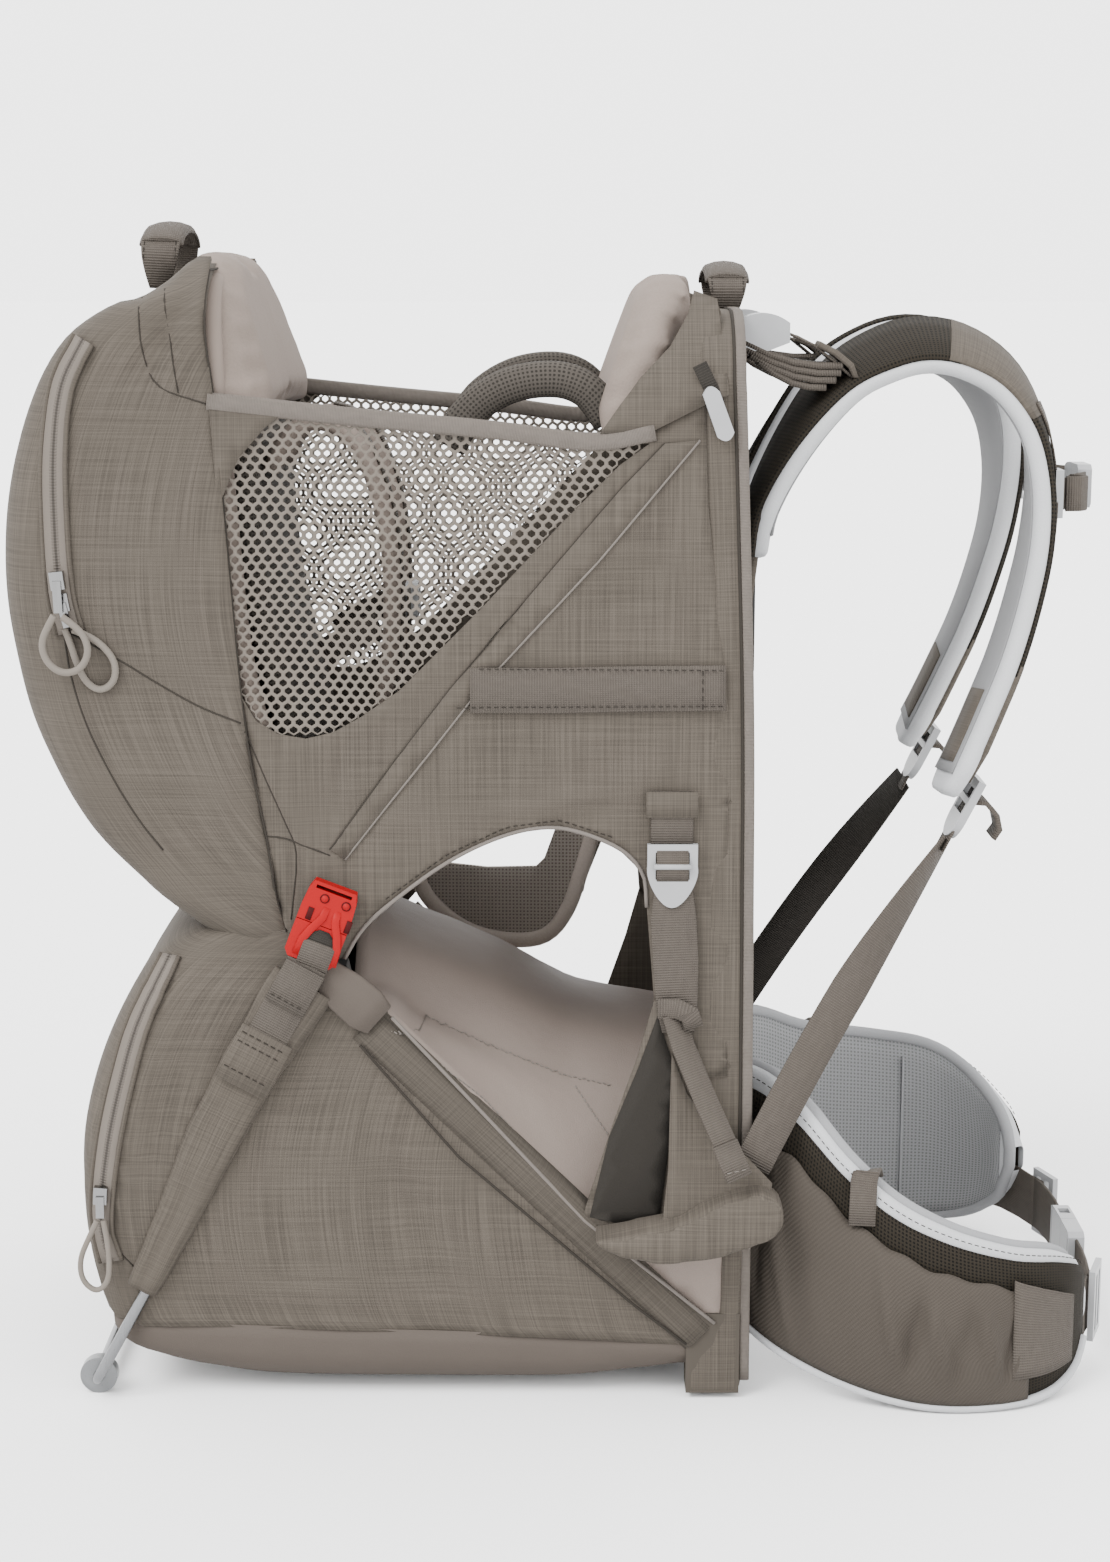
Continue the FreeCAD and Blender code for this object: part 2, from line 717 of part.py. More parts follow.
def seat_saddle():
    """The seat: a sheet arched over the child's crotch, low at the braces on both sides."""
    half = 126
    sheet_thickness = 6
    sections = []
    for x, crest in ((-112, 292), (-60, 268), (0, 242), (56, 223)):
        edge = brace_height(x) + 4
        rise = crest - edge
        profile = ((-1, 0), (-0.87, 0.5), (-0.48, 0.92), (0, 1), (0.48, 0.92), (0.87, 0.5), (1, 0))
        top = [Vector(x, y * half, edge + z * rise) for y, z in profile]
        inner_half = half - sheet_thickness
        inner_rise = rise - sheet_thickness
        under = [Vector(x, y * inner_half, edge + z * inner_rise) for y, z in reversed(profile)]
        upper = Part.BSplineCurve()
        upper.interpolate(top)
        lower = Part.BSplineCurve()
        lower.interpolate(under)
        edges = [upper.toShape(), Part.LineSegment(top[-1], under[0]).toShape(), lower.toShape(),
                 Part.LineSegment(under[-1], top[0]).toShape()]
        sections.append(Part.Wire(edges))
    return feature_of("seat_saddle", Part.makeLoft(sections, True, False))


def child_harness():
    """Two padded straps from the backrest over the child's shoulders to the seat."""
    line = [(-176, 598), (-152, 616), (-124, 598), (-107, 550), (-104, 490), (-112, 430), (-124, 372)]
    straps = [plate(f"child_strap_{name}", [band(line, 5)], "Sizes.child_strap_inner",
                    "Sizes.child_strap_width", side) for name, side in SIDES.items()]
    return group("child_harness", straps)


# ---------------------------------------------------------------- fabric on the frame


def frame_sleeves():
    """Fabric sleeves around both legs and the top bar of the back hoop."""
    members = []
    bottom = 66
    top = 636
    outline = corners((87, bottom), (87, top), (115, top), (115, 300), (120, 200), (120, bottom))
    for name, side in SIDES.items():
        body = plate(f"sleeve_{name}", [outline], "Sizes.sleeve_inner", "Sizes.sleeve_width", side)
        mouth = Vector(size("frame_plane"), side * size("frame_half_width"), top)
        bore(body, f"sleeve_way_{name}", mouth, Vector(0, 0, -1), "tube_clearance", top - bottom)
        members.append(body)
    over_the_top = Part.makeBox(22, 252, 46, Vector(94, -126, 640))
    members.append(feature_of("sleeve_top", over_the_top.cut(back_hoop_shape(size("tube_clearance")))))
    return group("frame_sleeves", members)


def arm_covers():
    """Fabric sleeves around the braces."""
    members = []
    outline = corners(on_brace(-105, 13), on_brace(-105, -13), on_brace(52, -13), on_brace(52, 13))
    for name, side in SIDES.items():
        body = plate(f"arm_{name}", [outline], "Sizes.arm_inner", "Sizes.arm_width", side)
        mouth_x, mouth_z = on_brace(-110, 0)
        mouth = Vector(mouth_x, side * size("frame_half_width"), mouth_z)
        bore(body, f"arm_way_{name}", mouth, BRACE_ALONG * -1, "tube_clearance", 240)
        members.append(body)
    return group("arm_covers", members)


def back_panel():
    """A stiff board and a pad against the wearer's back, between the frame's legs."""
    board = new_body("back_panel_board")
    outline = corners((103, 66), (106, 66), (106, 616), (103, 616))
    sketch = draw(board, "XZ_Plane", "board_outline", [outline])
    pad(board, sketch, "Sizes.back_panel_width", symmetric=True)
    cushion = new_body("back_panel_pad")
    outline = [[(106.3, 72)], [(120, 80), (121, 160), (117, 300), (118, 606)], [(106.3, 616)]]
    sketch = draw(cushion, "XZ_Plane", "cushion_outline", [outline])
    pad(cushion, sketch, "Sizes.back_panel_width", symmetric=True)
    return [board, cushion]


def lower_bag():
    """Side and rear walls of the bag under the seat, open to the seat, the back and the base."""
    half = size("bag_half_width")
    wall = size("fabric")
    rear = [(-236, 302), (-273, 252), (-293, 204), (-302, 158), (-299, 104), (-286, 50)]
    top = corners((82, brace_height(82) - 20), (-119, brace_height(-119) - 20), (-182, 230),
                  (-186, 262), (-206, 284))
    outer = prism([rear, [(82, 24)]] + top, half)
    hollow_top = corners((100, 60), (-110, 262), (-122, 227), (-185, 227), (-190, 260), (-209, 281))
    inner = prism([inset(rear, (-150, 160), wall), [(-283, 10)], [(100, 10)]] + hollow_top, half - wall)
    rear_curve = [(-290, half), (-299, 120), (-302, 60), (-303, 0), (-302, -60), (-299, -120),
                  (-290, -half)]
    outer = outer.common(plan_prism([[(90, half)], rear_curve, [(90, -half)]], 10, 310))
    hollow_curve = inset(rear_curve, (-150, 0), wall)
    inner = inner.common(plan_prism([[(110, half - wall)], hollow_curve, [(110, wall - half)]], 0, 310))
    return feature_of("lower_bag", outer.cut(inner))


def bag_base():
    """The tray of tougher fabric that the carrier stands on."""
    half = size("base_half_width")
    wall = size("fabric")
    rear = [(-286, 49), (-276, 28), (-233, 12), (-190, 4)]
    front = corners((-150, 0), (20, 0), (50, 4), (82, 13), (82, 23))
    outer = prism([rear] + front, half)
    hollow_rear = [(-280, 60), (-273, 32), (-232, 16), (-190, 8)]
    hollow_front = corners((-150, wall), (20, wall), (50, 4 + wall), (78, 12 + wall), (78, 60))
    inner = prism([hollow_rear] + hollow_front, half - wall)
    return feature_of("bag_base", outer.cut(inner))


# ---------------------------------------------------------------- zips, sliders and pulls

UPPER_ZIP = {"centre": (-19, 562.5), "radius": 284.7}
LOWER_ZIP = {"centre": (32, 116.7), "radius": 320.6}


def zip_tapes():
    upper = plate("upper_zip_tape", [arc_band(UPPER_ZIP["centre"], UPPER_ZIP["radius"], -13, 22, 7)],
                  "Sizes.upper_tape_inner", "Sizes.zip_tape", RIGHT)
    lower = plate("lower_zip_tape", [arc_band(LOWER_ZIP["centre"], LOWER_ZIP["radius"], -3, 35, 7)],
                  "Sizes.lower_tape_inner", "Sizes.zip_tape", RIGHT)
    return [upper, lower]


def slider(name, zip_line, degrees, tape_inner, tab_layer, tab_end):
    """A zip slider with its pull tab, on the right side."""
    centre = zip_line["centre"]
    radius = zip_line["radius"]
    half_turn = math.degrees(5.5 / radius)
    outline = arc_band(centre, radius, degrees - half_turn, degrees + half_turn, 4.2)
    inner = f"Sizes.{tape_inner} + Sizes.zip_tape + 0.2"
    body = plate(name, [outline], inner, f"Sizes.slider + {tab_layer}", RIGHT)
    root = on_circle(centre, radius, degrees)
    tab = band([root, tab_end], 2.6)
    ends = tab[0] + tab[1]
    add_plate(body, name + "_tab", [corners(*ends)], inner + f" + Sizes.slider + {tab_layer}",
              "Sizes.pull_tab", RIGHT)
    return body


UPPER_TAB_A = (-301, 509)
UPPER_TAB_B = (-296, 500)
LOWER_TAB = (-288, 124)


def sliders():
    """Sliders at rest with the zips closed down to them. The pulls' tabs lie in two layers."""
    upper_a = slider("upper_slider_a", UPPER_ZIP, -6.9, "upper_tape_inner", 2.6, UPPER_TAB_A)
    upper_b = slider("upper_slider_b", UPPER_ZIP, -9.7, "upper_tape_inner", 0, UPPER_TAB_B)
    lower = slider("lower_slider", LOWER_ZIP, 3.8, "lower_tape_inner", 0, LOWER_TAB)
    return [upper_a, upper_b, lower]


CORD_A = [(-303.4, 507.6), (-308, 500), (-312, 490), (-309, 479), (-300, 472), (-289, 474), (-283, 484),
          (-285, 495), (-293, 503), (-298.7, 506.9)]
CORD_B = [(-298.4, 498.6), (-295, 489), (-292, 478), (-287, 466), (-278, 460), (-269, 466), (-268, 478),
          (-275, 488), (-285, 495), (-293.7, 498.0)]
CORD_C = [(-290.0, 122.2), (-296, 110), (-302, 96), (-301, 82), (-292, 74), (-284, 81), (-283, 95),
          (-284, 109), (-286.1, 122.2)]


def pull_cord(name, route, distance, diameter):
    """A loop of cord in one plane beside the carrier, both ends at the slider's tab."""
    points = [Vector(x, -distance, z) for x, z in route]
    radii = []
    for before, corner, after in zip(points, points[1:], points[2:]):
        into = corner - before
        out = after - corner
        shorter = min(into.Length, out.Length)
        radii.append(0.45 * shorter / math.tan(into.getAngle(out) / 2))
    tube = round_bar(points, radii, diameter / 2)
    length = round_path(points, radii).Length
    section = math.pi * diameter ** 2 / 4
    print(name, "length", round(length, 1), "radii", [round(radius, 1) for radius in radii],
          "volume over section times length", round(tube.Volume / (section * length), 3))
    return feature_of(name, tube)


def pull_cords():
    return [pull_cord("upper_pull_cord_a", CORD_A, 152, 4.4),
            pull_cord("upper_pull_cord_b", CORD_B, 145.4, 4.4),
            pull_cord("lower_pull_cord", CORD_C, 153.8, 3.6)]


# ---------------------------------------------------------------- foot stirrups


def foot_stirrups():
    """Webbing and fabric stirrups that hang from the side panels, one solid chain per side."""
    members = []
    thickness = "Sizes.webbing + 0.4"
    panel_outline = [[(76, 262)], [(16, 122), (41, 112), (92, 120), (118, 128)], [(122, 158)], [(86, 250)]]
    platform = [[(18, 121), (41, 111), (92, 118), (133, 127)], [(139, 140), (92, 131), (41, 121)]]
    strap = corners((62, 264), (82, 264), (82, 325), (62, 325))
    hanger = corners((60, 367), (86, 367), (86, 398), (60, 398))
    for name, side in SIDES.items():
        body = plate(f"stirrup_{name}", [panel_outline], "Sizes.stirrup_inner", thickness, side)
        add_plate(body, f"stirrup_strap_{name}", [strap], "Sizes.stirrup_inner", thickness, side)
        add_plate(body, f"platform_{name}", [platform], "Sizes.stirrup_inner", "Sizes.stirrup_platform", side)
        members.append(body)
        members.append(plate(f"stirrup_hanger_{name}", [hanger], "Sizes.panel_inner + Sizes.panel + 0.2",
                             "Sizes.webbing", side))
        inner = size("stirrup_inner")
        start = Vector(79, side * (inner + 4.2), 255)
        end = Vector(110, side * (inner + size("stirrup_platform") - 4), 141)
        members.append(strip(f"stirrup_outer_{name}", start, end, Vector(1, 0, 0),
                             "lifter_web_width", "webbing"))
    return group("foot_stirrups", members)


def stirrup_buckles():
    """Shield-shaped ladder-locks with two slots for the webbing."""
    outline = [[(57, 366)], [(57, 352), (60, 338), (72, 326), (85, 338), (88, 352)], [(88, 366)]]
    lower_slot = corners((62, 344), (83, 344), (83, 350), (62, 350))
    upper_slot = corners((62, 354), (83, 354), (83, 361), (62, 361))
    buckles = [plate(f"stirrup_buckle_{name}", [outline, lower_slot, upper_slot], "Sizes.stirrup_inner",
                     "Sizes.stirrup_buckle", side) for name, side in SIDES.items()]
    return group("stirrup_buckles", buckles)


def sunshade_toggles():
    """Small hooks near the top of the frame for a sunshade's cords."""
    outline = [[(88, 640), (92, 645), (98, 642)], [(107, 618), (103, 613), (97, 615)]]
    toggles = [plate(f"toggle_{name}", [outline], "Sizes.toggle_inner", "Sizes.toggle", side)
               for name, side in SIDES.items()]
    return group("sunshade_toggles", toggles)


# ---------------------------------------------------------------- wearer's harness

SHOULDER_LINE = [(126, 534), (131, 566), (152, 607), (180, 643), (208, 660), (233, 666), (258, 661),
                 (282, 645), (299, 617), (305, 583), (303, 545), (295, 508), (284, 472), (271, 440),
                 (257, 408), (246, 386)]
SHOULDER_TOP = 666


def shoulder_straps():
    """Padded straps, leaning outwards as they come down."""
    straps = []
    for name, side in SIDES.items():
        body = plate(f"shoulder_strap_{name}", [band(SHOULDER_LINE, 7)], "Sizes.shoulder_inner",
                     "Sizes.shoulder_width", side)
        pivot = Vector(0, side * (size("shoulder_inner") + size("shoulder_width") / 2), SHOULDER_TOP)
        body.Placement = Placement(Vector(), Rotation(Vector(1, 0, 0), side * size("shoulder_lean")), pivot)
        straps.append(body)
    return straps


def harness_yoke():
    body = new_body("harness_yoke")
    outline = corners((121.5, 462), (127, 462), (127, 524), (121.5, 524))
    sketch = draw(body, "XZ_Plane", "yoke_outline", [outline])
    pad(body, sketch, "Sizes.yoke_width", symmetric=True)
    return body


def shoulder_y(z):
    """Distance of a shoulder strap's middle line from the middle plane at a height."""
    middle = size("shoulder_inner") + size("shoulder_width") / 2
    return middle + (SHOULDER_TOP - z) * math.tan(math.radians(size("shoulder_lean")))


def strap_adjusters():
    """Ladder-lock buckles on the outer face of each strap's lower end."""
    members = []
    outline = [[(0, -17)], [(28, -17), (40, -9), (42, 0), (40, 9), (28, 17)], [(0, 17)]]
    slots = [rectangle(6, 13, 13), rectangle(17, 24, 13)]
    along = Vector(-0.45, 0, -0.89).normalize()
    for name, side in SIDES.items():
        body = level_plate(f"adjuster_{name}", [outline] + slots, "0", "5")
        away = Vector(0.89, 0, -0.45).normalize()
        corner = Vector(266.5, side * shoulder_y(385), 398)
        body.Placement = Placement(corner, Rotation(along, away.cross(along), away, "XZY"))
        members.append(body)
    return group("strap_adjusters", members)


def harness_webbings():
    """Load lifters from the frame's top to the straps, and webbings from the adjusters to the base."""
    members = []
    lifter = band([(146, 673), (160, 667), (174, 654)], 0.8)
    for name, side in SIDES.items():
        members.append(plate(f"lifter_web_{name}", [lifter], "Sizes.lifter_web_inner",
                             "Sizes.lifter_web_width", side))
        top = Vector(247, side * (shoulder_y(370) + 3), 357)
        bottom = Vector(127, side * 156, 163)
        members.append(strip(f"lower_web_{name}", top, bottom, Vector(0, 1, 0), "handle_width",
                             "webbing"))
    return group("harness_webbings", members)


def load_lifter_buckles():
    outline = [[(116.3, 664)], [(116.3, 684), (130, 687), (145, 681)], [(145, 669)], [(132, 664)]]
    buckles = [plate(f"lifter_buckle_{name}", [outline], "Sizes.lifter_inner", "Sizes.lifter_width", side)
               for name, side in SIDES.items()]
    return group("load_lifter_buckles", buckles)


STERNUM_HEIGHT = 575


def sternum_strap():
    """Chest strap between the shoulder straps: two sliders, webbing and a side-release buckle."""
    slider_pair = []
    webbing = []
    for name, side in SIDES.items():
        y = shoulder_y(STERNUM_HEIGHT)
        outline = corners((313.6, side * (y - 12)), (313.6, side * (y + 12)),
                          (319, side * (y + 10)), (319, side * (y - 10)))
        slider_pair.append(level_plate(f"sternum_slider_{name}", [outline], "Sizes.sternum_web_bottom - 5",
                                       "Sizes.sternum_web_height + 10"))
        line = [(320, side * (y + 6)), (330, side * 48), (344, side * 25.2)]
        webbing.append(level_plate(f"sternum_web_{name}", [band(line, 0.8)], "Sizes.sternum_web_bottom",
                                   "Sizes.sternum_web_height"))
    mouth = Vector(344, 0, STERNUM_HEIGHT)
    socket, clip = buckle_pair("sternum_buckle", STERNUM, mouth, Vector(0, -1, 0), Vector(1, 0, 0))
    return [group("sternum_sliders", slider_pair), group("sternum_webbing", webbing), socket, clip]


def chest_buckle():
    mouth = Vector(-94, 0, 500)
    return list(buckle_pair("chest_buckle", CHEST, mouth, Vector(0, -1, 0), Vector(1, 0, 0)))


# ---------------------------------------------------------------- hip belt

BELT_LINE = [(128, 110), (160, 134), (200, 152), (245, 163), (290, 158), (322, 138), (338, 116)]
BELT_EDGES = {
    "right": {"top": [(116, 206), (134, 202), (153, 190), (185, 152), (230, 122), (281, 103),
                      (319, 92), (350, 66)],
              "bottom": [(350, 18), (316, 3), (284, 0), (233, 0), (188, 9), (143, 30), (116, 50)]},
    "left": {"top": [(116, 187), (141, 178), (183, 160), (235, 151), (280, 141), (318, 114), (350, 70)],
             "bottom": [(350, 44), (313, 24), (276, 12), (233, 4), (188, 9), (143, 30), (116, 50)]},
}


def belt_band(side, near, far):
    """The belt's plan between two distances outwards from its middle line."""
    line = [(x, side * y) for x, y in BELT_LINE]
    middle = (near + far) / 2
    shifted = band(line, middle)[0 if side == LEFT else 1]
    if side == RIGHT:
        shifted = shifted[::-1]
    return band(shifted, (far - near) / 2)


def hipbelt_wing(name, side):
    half = size("belt_half_thickness")
    edges = BELT_EDGES[name]
    plan = plan_prism(belt_band(side, -half, half), 0, 210)
    return feature_of(f"hipbelt_wing_{name}", plan.common(prism([edges["top"], edges["bottom"]], 200)))


def hip_pockets():
    """Flat zipped pockets on the outer faces of the belt's wings."""
    members = []
    half = size("belt_half_thickness")
    for name, side in SIDES.items():
        low = 12 if side == RIGHT else 20
        side_view = [[(152, 150)], [(186, 120), (235, 92), (290, 76)], [(300, 70)], [(300, low + 4)],
                     [(152, 36)]]
        plan = plan_prism(belt_band(side, half + 0.3, half + 10.3), 0, 210)
        members.append(feature_of(f"hip_pocket_{name}", plan.common(prism(side_view, 220))))
    return group("hip_pockets", members)


HIP_BUCKLE_X = 357


def hip_webbings():
    members = []
    for name, side in SIDES.items():
        end = HIP["socket"] if side == LEFT else HIP["clip"]
        line = [(344, side * 108), (352, side * 86), (356.6, side * 60), (HIP_BUCKLE_X, side * (end + 0.3))]
        members.append(level_plate(f"hip_web_{name}", [band(line, 1)], "Sizes.belt_web_bottom",
                                   "Sizes.belt_web_height"))
    return group("hip_webbings", members)


def hip_triglides():
    """Sliding buckles that adjust the belt, on the outer face of the webbing."""
    members = []
    outline = rectangle(0, 28, 24)
    slots = [rectangle(5, 11, 19.5), rectangle(16, 22, 19.5)]
    for name, side in SIDES.items():
        along = Vector(8, side * -22, 0).normalize()
        out = Vector(-side * along.y, side * along.x, 0)
        start = Vector(348.6, side * 101, 43) + out * 2.6
        body = level_plate(f"triglide_{name}", [outline] + slots, "0", "4")
        body.Placement = Placement(start, Rotation(along, out.cross(along), out, "XZY"))
        members.append(body)
    return group("hip_triglides", members)


def hip_buckle():
    mouth = Vector(HIP_BUCKLE_X, 0, 43)
    return list(buckle_pair("hip_buckle", HIP, mouth, Vector(0, -1, 0), Vector(1, 0, 0)))


# ---------------------------------------------------------------- haul handles


def haul_handle(name, x, line):
    """An arch of folded webbing across the top of the carrier."""
    body = new_body(name)
    sketch = draw(body, "YZ_Plane", name + "_outline", [band(line, 1.5)])
    sketch.setExpression(".AttachmentOffset.Base.z", str(x))
    pad(body, sketch, "Sizes.handle_width", symmetric=True)
    return body


def haul_handles():
    front = [(-46, 691), (-38, 706), (-18, 715.5), (18, 715.5), (38, 706), (46, 691)]
    rear = [(-46, 710), (-40, 727), (-20, 738.5), (20, 738.5), (40, 727), (46, 710)]
    return [haul_handle("front_handle", 109, front), haul_handle("rear_handle", -250, rear)]


# ---------------------------------------------------------------- building, checks and files


def build():
    """Every sub-part, as a list of objects whose Labels are the node names."""
    nodes = [back_frame_hoop(), base_crossbar(), rear_hoop_tube(), corner_brackets(), kickstand_hinges(),
             kickstand_pins(), kickstand_bar(), kickstand_feet(), kickstand_sleeves(), safety_straps()]
    nodes += safety_buckles()
    nodes += side_panels()
    nodes += [mesh_windows(), rear_pocket(), child_backrest()]
    nodes += head_pads()
    nodes += [seat_saddle(), child_harness()]
    nodes += chest_buckle()
    nodes += [frame_sleeves(), arm_covers()]
    nodes += back_panel()
    nodes += [lower_bag(), bag_base()]
    nodes += zip_tapes()
    nodes += sliders()
    nodes += pull_cords()
    nodes += [foot_stirrups(), stirrup_buckles(), sunshade_toggles(), harness_yoke()]
    nodes += shoulder_straps()
    nodes += [strap_adjusters(), harness_webbings(), load_lifter_buckles()]
    nodes += sternum_strap()
    nodes += [hipbelt_wing(name, side) for name, side in SIDES.items()]
    nodes += [hip_pockets(), hip_webbings(), hip_triglides()]
    nodes += hip_buckle()
    nodes += haul_handles()
    return nodes


def check(nodes):
    """Stops on any object that failed, any pocket that cut nothing and any bad shape."""
    faults = []
    for item in doc.Objects:
        for fault in ("Invalid", "Error"):
            if fault in item.State:
                faults.append(f"{item.Name} is in state {item.State}")
        if item.TypeId == "PartDesign::Pocket":
            if item.Shape.Volume > item.BaseFeature.Shape.Volume - 1:
                faults.append(f"{item.Name} cuts nothing")
    for node in nodes:
        if node.Shape.isNull() or not node.Shape.isValid() or not node.Shape.Solids:
            faults.append(f"{node.Label} has no valid solid")
    if faults:
        raise RuntimeError("; ".join(faults))


def write(nodes):
    os.makedirs("parts", exist_ok=True)
    for node in nodes:
        node.Shape.exportStep(f"parts/{node.Label}.step")


def shift_origin(nodes):
    """Moves every sub-part from the drawing frame to the carrier's own frame."""
    for node in nodes:
        base_x = node.Placement.Base.x
        node.setExpression("Placement.Base.x", f"{base_x} + Sizes.origin_shift")


sub_parts = build()
doc.recompute()
shift_origin(sub_parts)
doc.recompute()
check(sub_parts)
write(sub_parts)
whole = FreeCAD.BoundBox()
for sub_part in sub_parts:
    whole.add(sub_part.Shape.BoundBox)
print(len(sub_parts), "sub-parts", whole)
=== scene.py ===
import math

import bpy
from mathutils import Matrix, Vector, noise
from mathutils.bvhtree import BVHTree
from mathutils.geometry import delaunay_2d_cdt


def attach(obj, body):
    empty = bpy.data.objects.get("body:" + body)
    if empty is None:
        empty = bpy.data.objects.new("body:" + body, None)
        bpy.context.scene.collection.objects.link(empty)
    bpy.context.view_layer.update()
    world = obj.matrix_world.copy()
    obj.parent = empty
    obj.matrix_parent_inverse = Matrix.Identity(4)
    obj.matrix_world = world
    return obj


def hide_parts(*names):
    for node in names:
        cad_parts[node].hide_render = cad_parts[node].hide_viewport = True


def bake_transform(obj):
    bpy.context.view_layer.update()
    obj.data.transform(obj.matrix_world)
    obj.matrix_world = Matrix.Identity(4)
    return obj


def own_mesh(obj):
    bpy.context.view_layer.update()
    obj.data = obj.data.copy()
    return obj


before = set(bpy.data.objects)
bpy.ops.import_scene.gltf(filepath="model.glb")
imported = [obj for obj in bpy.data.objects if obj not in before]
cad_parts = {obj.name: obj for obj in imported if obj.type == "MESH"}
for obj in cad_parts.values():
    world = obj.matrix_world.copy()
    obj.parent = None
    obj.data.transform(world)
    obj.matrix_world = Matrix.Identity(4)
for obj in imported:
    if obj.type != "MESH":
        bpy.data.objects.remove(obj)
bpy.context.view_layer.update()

# Shapes are drawn in the CAD macro's drawing frame, in millimetres: X from the rear pocket to the
# wearer, Y from the right side to the left side, Z up from the floor.
SHIFT = -11.2
RIGHT = -1
LEFT = 1
SIDES = {"right": RIGHT, "left": LEFT}
SIDE_NAMES = {RIGHT: "right", LEFT: "left"}
OUT = {RIGHT: Vector((0, RIGHT, 0)), LEFT: Vector((0, LEFT, 0))}
scene = bpy.context.scene


def at(x, y, z):
    """A point of the drawing frame as metres in the row frame."""
    return Vector(((x + SHIFT) / 1000, y / 1000, z / 1000))


# ---------------------------------------------------------------- camera

LENS = 60
CAMERA_DISTANCE = 1718
CAMERA_HEIGHT = 713
CAMERA_TILT = 11.105  # degrees down from level
camera_data = bpy.data.cameras.new("camera")
camera_data.lens = LENS
camera = bpy.data.objects.new("camera", camera_data)
camera.location = at(0, -CAMERA_DISTANCE, CAMERA_HEIGHT)
camera.rotation_euler = (math.radians(90 - CAMERA_TILT), 0, 0)
scene.collection.objects.link(camera)
scene.camera = camera

# ---------------------------------------------------------------- materials


def add_node(tree, kind, settings, *inputs, **named):
    """A node with its settings, then its first inputs in order and others by name."""
    node = tree.nodes.new(kind)
    for key, value in settings.items():
        setattr(node, key, value)
    pairs = list(zip(node.inputs, inputs))
    pairs += [(node.inputs[key.replace("_", " ")], value) for key, value in named.items()]
    for socket, value in pairs:
        if isinstance(value, bpy.types.NodeSocket):
            tree.links.new(value, socket)
        elif value is not None:
            socket.default_value = value
    return node


def arithmetic(tree, operation, *inputs):
    return add_node(tree, "ShaderNodeMath", {"operation": operation}, *inputs).outputs[0]


def blended(tree, factor, first, second):
    node = add_node(tree, "ShaderNodeMix", {"data_type": "RGBA"})
    for index, value in ((0, factor), (6, first), (7, second)):
        if isinstance(value, bpy.types.NodeSocket):
            tree.links.new(value, node.inputs[index])
        else:
            node.inputs[index].default_value = value
    return node.outputs[2]


def stretched_noise(tree, place, scale, detail=2.0):
    """Noise with its own scale along each direction of the cloth."""
    mapped = add_node(tree, "ShaderNodeMapping", {}, place, None, None, scale).outputs[0]
    return add_node(tree, "ShaderNodeTexNoise", {}, mapped, None, 1.0, detail).outputs[0]


def stripes(tree, place, direction, pitch):
    """Rounded ridges across one direction of the cloth, pitch apart in metres."""
    split = add_node(tree, "ShaderNodeSeparateXYZ", {}, place)
    turned = arithmetic(tree, "MULTIPLY", split.outputs[direction], 2 * math.pi / pitch)
    wave = arithmetic(tree, "SINE", turned)
    return arithmetic(tree, "MULTIPLY_ADD", wave, 0.5, 0.5)


def new_material(name):
    material = bpy.data.materials.new(name)
    material.use_nodes = True
    tree = material.node_tree
    tree.nodes.clear()
    return material, tree


def finish_material(tree, colour, roughness, height=None, relief=0.0002, **named):
    """The shader itself, with an optional bump height."""
    named = {"Specular_IOR_Level": 0.12, **named}
    shader = add_node(tree, "ShaderNodeBsdfPrincipled", {}, Base_Color=colour, Roughness=roughness,
                      **named)
    if height is not None:
        bump = add_node(tree, "ShaderNodeBump", {}, Strength=1.0, Distance=relief, Height=height)
        tree.links.new(bump.outputs[0], shader.inputs["Normal"])
    output = add_node(tree, "ShaderNodeOutputMaterial", {})
    tree.links.new(shader.outputs[0], output.inputs[0])


DEPTH = 0.235  # how dark all dyes and plastics are under the bright studio light


def shade(colour, factor):
    return tuple(min(1, channel * factor * DEPTH) for channel in colour) + (1.0,)


def cloth_place(tree):
    """Where a point lies on its cloth, in metres."""
    return add_node(tree, "ShaderNodeUVMap", {"uv_map": "cloth"}).outputs[0]


def slub_cloth(name, colour, contrast=0.31, creases=9.0):
    """Plain weave with threads of uneven thickness and shade, both ways."""
    material, tree = new_material(name)
    place = cloth_place(tree)
    warp = stretched_noise(tree, place, (1000, 13, 1), 3)
    weft = stretched_noise(tree, place, (13, 1000, 1), 3)
    broad = stretched_noise(tree, place, (30, 18, 1), 3)
    streaks = arithmetic(tree, "MULTIPLY_ADD", warp, 0.55, arithmetic(tree, "MULTIPLY", weft, 0.45))
    spread = arithmetic(tree, "MULTIPLY_ADD", streaks, 4.2, -1.6)
    mottled = arithmetic(tree, "MULTIPLY_ADD", broad, 0.35, arithmetic(tree, "MULTIPLY", spread, 0.8))
    clamped = add_node(tree, "ShaderNodeClamp", {}, mottled).outputs[0]
    paint = blended(tree, clamped, shade(colour, 1 - contrast), shade(colour, 1 + contrast))
    threads = arithmetic(tree, "MAXIMUM", stripes(tree, place, 0, 0.0011), stripes(tree, place, 1, 0.0011))
    folds = stretched_noise(tree, place, (14, 9, 1), 4)
    weave = arithmetic(tree, "MULTIPLY", threads, 0.5)
    height = arithmetic(tree, "MULTIPLY_ADD", folds, creases, weave)
    finish_material(tree, paint, 0.86, height, relief=0.0001)
    return material


